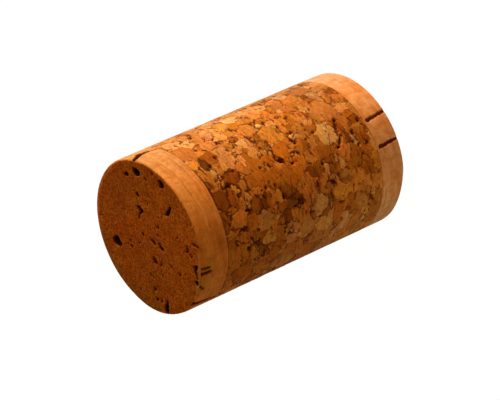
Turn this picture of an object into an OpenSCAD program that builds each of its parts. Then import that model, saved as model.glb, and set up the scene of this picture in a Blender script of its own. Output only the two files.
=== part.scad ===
// Cork stopper for a bottle, in three glued pieces: a body of pressed cork granules
// with a disc of natural cork on each end. It stands on its lower end, centred on Z.
// All lengths are in millimetres and all bearings in degrees, counted from +X.

/* [Stopper] */
// Overall length of the stopper
stopper_length = 39; // [32:0.5:54]
// Outside diameter of the stopper
stopper_diameter = 23.5; // [20:0.25:28]
// Rounding of the outer edge at both ends
rim_rounding = 0.35; // [0.3:0.05:1.5]

/* [Natural cork discs] */
// Thickness of the upper disc, which has the pitted face
top_disc_thickness = 4.85; // [3.5:0.05:7]
// Thickness of the lower disc
bottom_disc_thickness = 4.25; // [3.5:0.05:7]

/* [Pores] */
// Width of a typical pore in the upper face
pore_width = 1; // [0.6:0.05:1.4]
// Depth of the pores
pore_depth = 1.1; // [0.5:0.1:2.5]

/* [Lenticel channels] */
// Width of the channels that run down the sides of the discs
channel_width = 0.75; // [0.4:0.05:1.2]
// Depth of the channels
channel_depth = 0.6; // [0.3:0.05:1.2]
// Plain cork left beyond the narrow end of a channel
channel_land = 0.15; // [0.1:0.05:1]
// Size of the hollow that breaks the upper rim
rim_hollow_size = 2; // [1:0.1:3]

/* [Granule body] */
// Width of a typical crevice between granules
crevice_width = 0.5; // [0.3:0.05:0.8]
// Depth of the crevices
crevice_depth = 0.5; // [0.2:0.05:1]
// Number of crevices scattered over the plainer half of the body
scattered_crevices = 96; // [0:4:120]

/* [Hidden] */
$fn = 96;

radius = stopper_diameter / 2;
lower_joint = bottom_disc_thickness;
upper_joint = stopper_length - top_disc_thickness;
granule_length = upper_joint - lower_joint;

// Cuts start this far outside the surface that they open
overcut = 1;
// Corners in the outline of a pore and of a crevice, and how uneven these outlines are
pore_corners = 9;
crevice_corners = 7;
hollow_unevenness = 0.22;
// Stations along each side of a channel, and the share of its width at the narrow end
channel_stations = 6;
channel_taper = 0.6;
channel_unevenness = 0.16;
// The charted crevices were measured on a body that began at this height, with this
// length, and with crevices of this typical width
chart_low = 4.25;
chart_length = 29.9;
chart_crevice_width = 0.5;
// Limits of the scattered crevices for each column of the chart, and the steps that
// spread them evenly between those limits
scatter_limits = [[-20, 200], [5.4, 33], [0.35, 1.15], [0.28, 0.6], [-35, 35], [0.5, 1]];
scatter_steps = [0.755, 0.57, 0.618, 0.414, 0.302, 0.236];

// Pores of the upper face, hand placed: distance from the centre as a share of the
// radius, bearing, length and width in typical pore widths, and direction of the length
face_pores = [
    [0.66, 79, 1.7, 1.4, 50], [0.39, 93, 0.6, 0.4, 40], [0.38, 82, 0.45, 0.35, 0],
    [0.09, 47, 0.55, 0.45, 70], [0.29, 166, 1.0, 0.8, 0], [0.36, 185, 0.9, 0.25, -60],
    [0.10, 225, 1.1, 0.45, 35], [0.25, 226, 1.2, 0.5, 15], [0.22, 263, 0.45, 0.35, 0],
    [0.30, 282, 0.55, 0.4, -40], [0.35, 345, 1.2, 0.85, 20], [0.30, 354, 1.0, 0.3, -50],
    [0.56, 342, 0.65, 0.5, 30], [0.81, 350, 1.0, 0.45, 75], [0.85, 336, 1.5, 1.0, 50],
    [0.80, 323, 0.55, 0.4, 0], [0.64, 285, 1.9, 0.55, -70], [0.88, 305, 1.15, 1.0, 20],
    [0.47, 206, 0.55, 0.45, 0], [0.64, 210, 0.55, 0.4, 0], [0.73, 244, 0.9, 0.6, 0],
    [0.79, 239, 0.7, 0.6, 0], [0.91, 250, 1.3, 0.6, 60], [0.89, 227, 1.2, 0.8, -40],
    [0.93, 218, 1.3, 0.5, -60], [0.90, 164, 1.3, 0.5, -15], [0.84, 168, 1.1, 0.45, -65],
    [0.68, 152, 1.0, 0.3, -80], [0.80, 154, 0.55, 0.4, 0],
];

// Bearings of the channels in each disc, and of the hollow in the upper rim
top_channels = [-20, -167];
bottom_channels = [-77, -98.5];
rim_hollow_bearing = -134.5;
// Height of the rim hollow as a share of its size round the rim
rim_hollow_slimness = 1.3;

// Crevices of the granule body, hand placed: bearing, height above the lower face, width
// round the body, length along it, turn, and share of the full depth
charted_crevices = [
    [-57.2, 29.6, 0.65, 0.45, -10, 1], [-72.3, 28.8, 0.4, 0.35, 0, 1],
    [-73.6, 30.85, 0.3, 0.3, 0, 1], [-62.6, 31.4, 0.55, 0.3, 0, 0.75],
    [-73.7, 32.15, 0.4, 0.35, 0, 0.75], [-80.2, 30.8, 0.8, 0.75, 0, 1],
    [-80.6, 31.85, 0.35, 0.4, 20, 1], [-46, 27.5, 0.65, 0.25, -10, 1],
    [-41, 27.35, 0.5, 0.28, -10, 0.75], [-55.5, 27, 0.9, 0.3, -15, 0.75],
    [-44, 31.25, 0.35, 0.25, -20, 0.5], [-26.5, 29, 1.5, 0.55, -42, 1],
    [-76, 33.2, 0.8, 0.25, 12, 0.75], [-77.8, 24.45, 0.25, 0.4, -15, 1],
    [-79, 23, 0.35, 0.3, 0, 0.75], [-77, 21.35, 0.8, 0.3, 15, 1],
    [-74.2, 21.2, 0.35, 0.25, 0, 0.75], [-79.7, 20.7, 0.55, 0.75, -35, 1],
    [-60.5, 22.35, 0.6, 0.25, -5, 0.75], [-57.3, 22.8, 0.55, 0.25, 0, 0.75],
    [-53.6, 22.7, 0.75, 0.3, -22, 1], [-62.5, 20.85, 0.6, 0.28, 0, 0.5],
    [-54.8, 25.65, 0.5, 0.28, -15, 0.75], [-47, 25.9, 0.75, 0.25, -15, 0.75],
    [-42, 20.3, 0.85, 0.32, -10, 1], [-41.5, 19.5, 0.7, 0.25, -8, 0.75],
    [-49.2, 19.85, 1, 0.25, -62, 0.75], [-36.8, 24.5, 0.5, 0.3, -10, 0.5],
    [-42, 23.5, 0.9, 0.25, -5, 0.5], [-51, 24.95, 0.5, 0.28, 0, 0.5],
    [-69.8, 22.95, 0.25, 0.3, 0, 0.5], [-77.7, 17.95, 0.4, 0.3, 0, 1],
    [-78.3, 17.45, 0.65, 0.4, 0, 1], [-74.9, 17.4, 0.25, 0.35, 0, 0.75],
    [-71.2, 16.85, 0.5, 0.5, 20, 1], [-69.6, 17.25, 0.6, 0.28, 10, 0.75],
    [-63.1, 16.95, 0.4, 0.35, 0, 1], [-63.1, 16.3, 0.3, 0.8, 5, 0.75],
    [-57.6, 17.35, 0.6, 0.28, 0, 0.75], [-55, 17.45, 0.7, 0.28, 5, 1],
    [-52.3, 17.85, 0.4, 0.25, 30, 0.5], [-46.9, 18.7, 1, 0.35, -12, 1],
    [-42, 17.75, 0.85, 0.28, -15, 0.5], [-50.1, 15.05, 0.5, 0.5, 0, 1],
    [-65, 14, 0.4, 0.3, 0, 1], [-69.8, 13.2, 0.38, 0.5, 0, 1], [-72.5, 15, 0.3, 0.25, 0, 0.75],
    [-43.8, 12.35, 0.3, 0.3, 0, 0.5], [-28.5, 15.8, 0.9, 0.5, -10, 0.5],
    [-73.6, 9.25, 1.25, 0.55, -15, 1], [-70.8, 9.05, 0.6, 0.3, -10, 1],
    [-67.6, 8.7, 0.45, 0.65, 25, 1], [-78.8, 9.7, 0.6, 0.25, -20, 0.5],
    [-79.3, 9.1, 0.35, 0.4, 0, 0.5], [-51.6, 10.75, 0.6, 0.25, -40, 0.5],
    [-39.4, 11.15, 0.4, 0.4, 0, 0.5], [-33.8, 9.8, 0.5, 0.35, -35, 0.75],
    [-74.6, 5.15, 0.45, 0.5, 15, 1], [-40.2, 7.05, 1.6, 0.25, -44, 0.5],
    [-112, 31, 0.36, 0.85, -5, 1], [-112.7, 30.1, 0.35, 0.38, 0, 1],
    [-101.3, 29.2, 0.45, 1.05, -22, 1], [-103.8, 29.5, 0.35, 0.3, 0, 0.75],
    [-128.2, 30.2, 0.8, 0.75, 20, 1], [-126.4, 29, 0.35, 0.85, 18, 1],
    [-121.2, 29.7, 0.7, 0.5, 10, 0.75], [-122.2, 31.35, 0.5, 0.4, 30, 0.75],
    [-109, 32.8, 0.4, 0.28, 0, 0.75], [-110.4, 32.3, 0.35, 0.6, 10, 0.5],
    [-96.9, 32.75, 0.28, 0.55, 10, 0.75], [-90.2, 30, 0.85, 0.3, -8, 1],
    [-88.4, 29.65, 0.25, 0.5, 15, 0.75], [-89.1, 28.4, 0.45, 0.38, 10, 0.5],
    [-117, 29.3, 0.3, 0.3, 0, 0.5], [-136.4, 27.3, 0.65, 0.4, 10, 1],
    [-121.8, 27.1, 0.4, 0.5, 0, 0.5], [-132.4, 26.2, 0.6, 0.42, -30, 0.75],
    [-132.7, 25.5, 0.4, 0.28, 0, 0.5], [-136, 23.35, 0.42, 0.6, 0, 0.75],
    [-122.5, 23.15, 0.5, 0.3, 30, 0.75], [-103.2, 22.6, 0.85, 0.6, -15, 1],
    [-113, 21.1, 0.35, 1, 18, 1], [-110.5, 20.1, 1, 0.6, 10, 1], [-111.6, 19.5, 0.3, 0.6, 20, 1],
    [-107.3, 19.5, 0.6, 0.32, 0, 0.75], [-104, 20.7, 0.5, 0.38, 0, 0.5],
    [-107.6, 20.8, 0.6, 0.25, 0, 0.5], [-93.3, 23.55, 0.5, 0.35, -10, 0.75],
    [-89.5, 24.3, 0.35, 0.28, 0, 0.75], [-92.4, 25.2, 0.65, 0.45, 10, 0.75],
    [-97.5, 26, 0.7, 0.3, 40, 0.75], [-92.5, 26.1, 0.28, 0.25, 0, 0.5],
    [-122, 21.3, 0.4, 0.25, 0, 0.5], [-83.7, 19.1, 0.42, 0.6, 10, 1],
    [-83.9, 18.4, 0.3, 0.25, 0, 0.5], [-122.2, 18.35, 0.75, 0.5, -15, 1],
    [-117, 17.6, 1.9, 0.25, -27, 0.75], [-105.5, 16.25, 0.6, 0.42, 0, 0.75],
    [-103.3, 16.4, 0.45, 0.32, 0, 1], [-100.4, 15.7, 0.8, 0.28, -10, 0.75],
    [-113.8, 15.4, 0.5, 0.3, 28, 0.75], [-118.6, 14.75, 0.4, 0.28, 0, 0.5],
    [-116.5, 14, 1.5, 0.28, 7, 0.75], [-107.7, 13.4, 0.85, 0.95, 0, 1],
    [-105.8, 14.15, 0.35, 0.8, -5, 0.75], [-93.1, 14.35, 0.42, 0.35, 0, 1],
    [-124.5, 12.5, 0.35, 0.8, -12, 1], [-108.3, 12.15, 0.6, 0.3, 5, 0.75],
    [-98.5, 12.4, 1, 0.28, 0, 0.5], [-133.2, 6.3, 1.7, 0.35, 33, 1],
    [-124.5, 8.45, 0.6, 0.3, 15, 0.5], [-133.5, 8.15, 0.5, 0.25, 20, 0.5],
    [-97.7, 6.95, 0.42, 0.65, 12, 0.75], [-90.8, 7.15, 0.65, 0.35, -25, 0.75],
    [-91.3, 5.65, 0.6, 0.45, 0, 1], [-92, 6.2, 0.4, 0.28, 0, 0.5],
    [-86.8, 7.75, 0.55, 0.45, 0, 1], [-81.4, 7.1, 0.6, 0.48, 0, 1],
    [-79.4, 7, 0.4, 0.5, 15, 0.75], [-86.5, 10.45, 0.42, 0.85, 22, 1],
    [-83.6, 9.95, 0.95, 0.42, -33, 1], [-80.8, 9.45, 0.8, 0.28, -33, 0.75],
    [-83.5, 11.2, 0.4, 0.25, 15, 0.5], [-103.5, 10.35, 0.4, 0.28, 15, 0.5],
    [-102.1, 10.7, 0.25, 0.35, 0, 0.5], [-103.8, 8.3, 0.6, 0.25, -30, 0.5],
    [-117, 8.85, 0.35, 0.35, 0, 0.5], [-138.5, 24.5, 0.5, 0.4, 0, 0.75],
    [-145.5, 26.8, 0.4, 1.5, 0, 0.75],
];

// Outline of a natural hollow: an ellipse whose edge swells in and out, in its own way
// for each index
function hollow_outline(length, width, index, corners) = [
    for (corner = [0 : corners - 1])
        let (
            turn = 360 * corner / corners,
            swell = 1 + hollow_unevenness * sin(2 * turn + 77 * index) * cos(turn + 31 * index)
        )
        [swell * length / 2 * cos(turn), swell * width / 2 * sin(turn)]
];

// Half the width of a channel at a share of its length from the wide end
function channel_half_width(share, index) =
    channel_width / 2 * (1 - (1 - channel_taper) * share)
    * (1 + channel_unevenness * sin(540 * share + 63 * index));

// Outline of a channel that opens at y = 0 at full width and narrows downwards
function channel_outline(length, index) = concat(
    [[channel_half_width(0, index), overcut]],
    [for (k = [0 : channel_stations])
        let (share = k / channel_stations)
        [channel_half_width(share, index), -length * share]],
    [for (k = [channel_stations : -1 : 0])
        let (share = k / channel_stations)
        [-channel_half_width(share, index + 1), -length * share]],
    [[-channel_half_width(0, index + 1), overcut]]
);

// Carries a flat outline to the side of the stopper and sinks it to a depth: its x runs
// round the stopper and its y runs up
module sink_in_side(bearing, height, depth) {
    rotate([0, 0, bearing])
        translate([radius - depth, 0, height])
            rotate([90, 0, 90])
                linear_extrude(depth + overcut) children();
}

// One disc of natural cork, with its joint on z = 0 and its rounded rim above
module disc_blank(thickness) {
    rotate_extrude() {
        square([radius - rim_rounding, thickness]);
        square([radius, thickness - rim_rounding]);
        translate([radius - rim_rounding, thickness - rim_rounding]) circle(rim_rounding);
    }
}

// The pores that open in the face of a disc of a given thickness
module face_pore_cuts(thickness) {
    for (index = [0 : len(face_pores) - 1])
        let (pore = face_pores[index])
            rotate([0, 0, pore[1]])
                translate([pore[0] * radius, 0, thickness - pore_depth])
                    rotate([0, 0, pore[4] - pore[1]])
                        linear_extrude(pore_depth + overcut)
                            polygon(hollow_outline(
                                pore[2] * pore_width, pore[3] * pore_width, index, pore_corners));
}

// Upper disc of natural cork, with the pitted face, two channels and a hollow in its rim
module top_disc() {
    color("#d98547")
        translate([0, 0, upper_joint])
            difference() {
                disc_blank(top_disc_thickness);
                face_pore_cuts(top_disc_thickness);
                for (index = [0 : len(top_channels) - 1])
                    sink_in_side(top_channels[index], top_disc_thickness, channel_depth)
                        polygon(channel_outline(top_disc_thickness - channel_land, index));
                sink_in_side(rim_hollow_bearing, top_disc_thickness - rim_hollow_size / 2, channel_depth)
                    polygon(hollow_outline(
                        rim_hollow_size, rim_hollow_size * rim_hollow_slimness, 3, pore_corners));
            }
}

// One scattered crevice, as a row like those of the charted ones
function scattered_crevice(index) = [
    for (column = [0 : len(scatter_steps) - 1])
        let (
            limits = scatter_limits[column],
            turns = index * scatter_steps[column]
        )
        limits[0] + (limits[1] - limits[0]) * (turns - floor(turns))
];

// Body of pressed cork granules, with the crevices that are left between them
module granule_body() {
    scattered = [for (k = [0 : 1 : scattered_crevices - 1]) scattered_crevice(k)];
    crevices = concat(charted_crevices, scattered);
    stretch = granule_length / chart_length;
    widening = crevice_width / chart_crevice_width;
    color("#b4682c")
        difference() {
            translate([0, 0, lower_joint]) cylinder(h = granule_length, r = radius);
            for (index = [0 : len(crevices) - 1])
                let (crevice = crevices[index])
                    sink_in_side(
                        crevice[0],
                        lower_joint + (crevice[1] - chart_low) * stretch,
                        crevice[5] * crevice_depth
                    )
                        rotate([0, 0, crevice[4]])
                            polygon(hollow_outline(
                                crevice[2] * widening, crevice[3] * widening, index,
                                crevice_corners));
        }
}

// Lower disc of natural cork, with two channels that widen towards the joint
module bottom_disc() {
    channel_length = bottom_disc_thickness - rim_rounding - channel_land;
    color("#dc8c50")
        difference() {
            translate([0, 0, lower_joint]) mirror([0, 0, 1]) disc_blank(bottom_disc_thickness);
            for (index = [0 : len(bottom_channels) - 1])
                sink_in_side(bottom_channels[index], lower_joint, channel_depth)
                    polygon(channel_outline(channel_length, index + len(top_channels)));
        }
}

top_disc();
granule_body();
bottom_disc();
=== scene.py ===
import math

import bpy
import numpy as np
from bpy.props import FloatProperty, FloatVectorProperty, IntProperty, PointerProperty
from mathutils import Matrix, Vector, noise


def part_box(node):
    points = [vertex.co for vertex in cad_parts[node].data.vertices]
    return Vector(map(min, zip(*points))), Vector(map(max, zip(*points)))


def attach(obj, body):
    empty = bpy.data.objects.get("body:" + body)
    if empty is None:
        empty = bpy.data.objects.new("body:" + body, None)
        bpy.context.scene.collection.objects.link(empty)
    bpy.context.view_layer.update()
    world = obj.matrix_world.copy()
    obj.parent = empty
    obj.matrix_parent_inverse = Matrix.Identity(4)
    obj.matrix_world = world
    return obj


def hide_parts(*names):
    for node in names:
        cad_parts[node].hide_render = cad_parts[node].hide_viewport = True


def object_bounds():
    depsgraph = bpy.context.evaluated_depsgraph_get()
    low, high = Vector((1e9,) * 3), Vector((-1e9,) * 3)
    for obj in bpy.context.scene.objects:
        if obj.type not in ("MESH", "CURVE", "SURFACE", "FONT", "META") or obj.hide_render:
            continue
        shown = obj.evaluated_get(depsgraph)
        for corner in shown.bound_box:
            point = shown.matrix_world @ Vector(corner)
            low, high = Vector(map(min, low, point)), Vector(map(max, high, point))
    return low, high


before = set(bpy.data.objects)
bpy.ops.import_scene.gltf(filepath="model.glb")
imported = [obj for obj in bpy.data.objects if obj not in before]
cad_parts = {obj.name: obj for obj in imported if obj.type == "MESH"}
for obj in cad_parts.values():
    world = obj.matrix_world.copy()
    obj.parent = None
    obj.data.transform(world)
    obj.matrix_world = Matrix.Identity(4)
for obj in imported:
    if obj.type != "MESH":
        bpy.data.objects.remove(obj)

bl_info = {
    "name": "Cork stopper",
    "version": (1, 0, 0),
    "blender": (4, 5, 0),
    "location": "View3D > Sidebar > Cork stopper",
    "description": "Granule body, natural cork discs and stage of a cork bottle stopper",
    "category": "Object",
}

MM = 0.001
CAD_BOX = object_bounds()
BODY_LOW, BODY_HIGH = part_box("granule_body")
TOP_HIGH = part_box("top_disc")[1]
BOTTOM_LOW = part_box("bottom_disc")[0]
# All modelling below is in millimetres, and each mesh is scaled to metres as it is made
RADIUS = TOP_HIGH.x / MM
LOWER_JOINT = BODY_LOW.z / MM
UPPER_JOINT = BODY_HIGH.z / MM
LOWER_FACE = BOTTOM_LOW.z / MM
UPPER_FACE = TOP_HIGH.z / MM
GIRTH = 2 * math.pi * RADIUS

# Each granule may split into this many shards
SHARDS = 4
# Throws of the granules that aren't charted: how many, the smallest and largest half width, and
# how close a granule may come to others
THROWS = ((3000, 0.9, 1.5, 1.0), (7000, 0.5, 0.9, 0.92), (9000, 0.25, 0.45, 0.9))
# Passes that smooth the outlines of granules, and that blur the shade round cracks
OUTLINE_PASSES = 7
SHADE_PASSES = 5
# Millimetres by which the body and a disc are grooved along their joint
BODY_GROOVE = 0.05
DISC_GROOVE = 0.06
# Painted sheen: how much paler and bluer the lit side and the edges are painted, in red, green and blue
PAINTED_SHEEN_TINT = (-0.14, 0.08, 1.1)
# Cork is matt
ROUGHNESS = 0.85
SPECULAR = 0.06
# Places and sizes of the soft lamps and the floor, in metres
LAMP_AIM = (0.0, 0.0, 0.02)
KEY_PLACE, KEY_SIZE = (0.45, -0.063, 0.04), (0.32, 0.07)
RIM_PLACE, RIM_SIZE = (0.385, 0.235, 0.04), (0.25, 0.07)
CARD_PLACE, CARD_SIZE, CARD_COLOUR = (-0.026, -0.018, 0.004), (0.03, 0.008), (0.6, 0.85, 1.0)
FLOOR_HALF = 1.5
FLOOR_GAP = 0.00002


# ---------------------------------------------------------------------------
# Settings
# ---------------------------------------------------------------------------

def length_setting(name, description, default):
    return FloatProperty(name=name, description=description, default=default, unit="LENGTH",
                         precision=5)


def colour_setting(name, description, default):
    return FloatVectorProperty(name=name, description=description, default=default,
                               subtype="COLOR", size=3, min=0.0, max=1.0)


class GranuleSettings(bpy.types.PropertyGroup):
    """Sizes of the pressed granule body."""
    columns: IntProperty(name="Columns", description="Quads round the body", default=480)
    rows: IntProperty(name="Rows", description="Quads along the body", default=194)
    seed: IntProperty(name="Seed", description="Seed of the granules that aren't charted",
                      default=11)
    relief: length_setting("Relief", "Most that a granule lies below the ground surface", 0.00003)
    crack_depth: length_setting("Crack depth", "Depth of the widest cracks between granules", 0.00005)
    hollow_depth: length_setting("Hollow depth", "Depth of the holes left between granules", 0.0005)
    grain_length: length_setting("Grain length", "Length of a streak inside a granule", 0.0014)
    grain_width: length_setting("Grain width", "Width of a streak inside a granule", 0.0002)
    cell_size: length_setting("Cell size", "Size of the fine speckle", 0.00018)


class DiscSettings(bpy.types.PropertyGroup):
    """Sizes and colours of the natural cork discs."""
    face_divisions: IntProperty(name="Face divisions", description="Quads across an end face",
                                default=200)
    side_rows: IntProperty(name="Side rows", description="Quads along a disc's side", default=36)
    rim_rows: IntProperty(name="Rim rows", description="Quads round a rounded rim", default=8)
    rim_rounding: length_setting("Rim rounding", "Radius of the rounded rims", 0.00035)
    pore_depth: length_setting("Pore depth", "Depth of the pores in an end face", 0.0009)
    channel_depth: length_setting("Channel depth", "Depth of the channels in a side", 0.0006)
    upper_colour: colour_setting("Upper colour", "Cork along the upper disc's side",
                                 (0.855, 0.288, 0.052))
    lower_colour: colour_setting("Lower colour", "Cork along the lower disc's side",
                                 (0.87, 0.362, 0.11))
    end_colour: colour_setting("End colour", "Cork on an end face", (0.785, 0.206, 0.021))
    line_colour: colour_setting("Line colour", "Growth lines", (0.26, 0.07, 0.012))


class StageSettings(bpy.types.PropertyGroup):
    """Camera, lamps and floor."""
    lens: FloatProperty(name="Lens", description="Focal length in millimetres on a 36 mm sensor",
                        default=216.0)
    camera_place: FloatVectorProperty(name="Camera place", description="Where the camera stands",
                                      default=(-0.00105, -0.35433, 0.26894), subtype="TRANSLATION",
                                      unit="LENGTH", precision=5)
    camera_tilt: FloatProperty(name="Camera tilt", description="How far the camera looks down",
                               default=math.radians(35.06), subtype="ANGLE")
    camera_roll: FloatProperty(name="Camera roll", description="Turn of the camera about its own axis",
                               default=math.radians(114.11), subtype="ANGLE")
    key_power: FloatProperty(name="Key power", description="Power of the soft key lamp in watts",
                             default=2.7)
    bounce_power: FloatProperty(name="Bounce power", description="Power of the low bluish card",
                                default=0.0013)
    key_colour: colour_setting("Key colour", "Light of the soft key lamp", (1.0, 0.92, 0.80))
    rim_power: FloatProperty(name="Rim power", description="Power of the soft lamp behind",
                             default=1.0)
    rim_colour: colour_setting("Rim colour", "Light of the soft lamp behind", (0.38, 0.68, 1.0))
    fill_strength: FloatProperty(name="Fill strength", description="Light from all round",
                                 default=0.26)
    fill_colour: colour_setting("Fill colour", "Colour of the light from all round",
                                (1.0, 0.69, 0.24))
    floor_colour: colour_setting("Floor colour", "Pale floor", (0.80, 0.80, 0.80))


# ---------------------------------------------------------------------------
# Charts of the features, given one by one. Bearings are in degrees from +X, heights in
# millimetres above the lower face, sizes in millimetres.
# ---------------------------------------------------------------------------

GRANULE_COLOURS = {
    "cream": (0.96, 0.50, 0.12),
    "honey": (0.93, 0.40, 0.08),
    "gold": (0.92, 0.35, 0.03),
    "pale": (0.82, 0.38, 0.07),
    "rose": (0.86, 0.35, 0.07),
    "coral": (0.80, 0.28, 0.04),
    "orange": (0.82, 0.28, 0.03),
    "burnt": (0.72, 0.21, 0.01),
    "terracotta": (0.72, 0.24, 0.03),
    "tan": (0.66, 0.25, 0.03),
    "ochre": (0.58, 0.20, 0.015),
    "amber": (0.64, 0.20, 0.01),
    "russet": (0.50, 0.14, 0.005),
    "rust": (0.38, 0.09, 0.003),
    "umber": (0.35, 0.10, 0.003),
    "olive": (0.36, 0.12, 0.006),
    "bark": (0.19, 0.06, 0.002),
}
# How often each colour comes among the granules that aren't charted
FILLER_COLOURS = {
    "cream": 4, "honey": 12, "gold": 4, "pale": 4, "rose": 5, "coral": 5, "orange": 22,
    "burnt": 10, "terracotta": 5, "tan": 9, "ochre": 5, "amber": 14, "russet": 9, "rust": 3,
    "umber": 2, "olive": 2,
}

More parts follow.
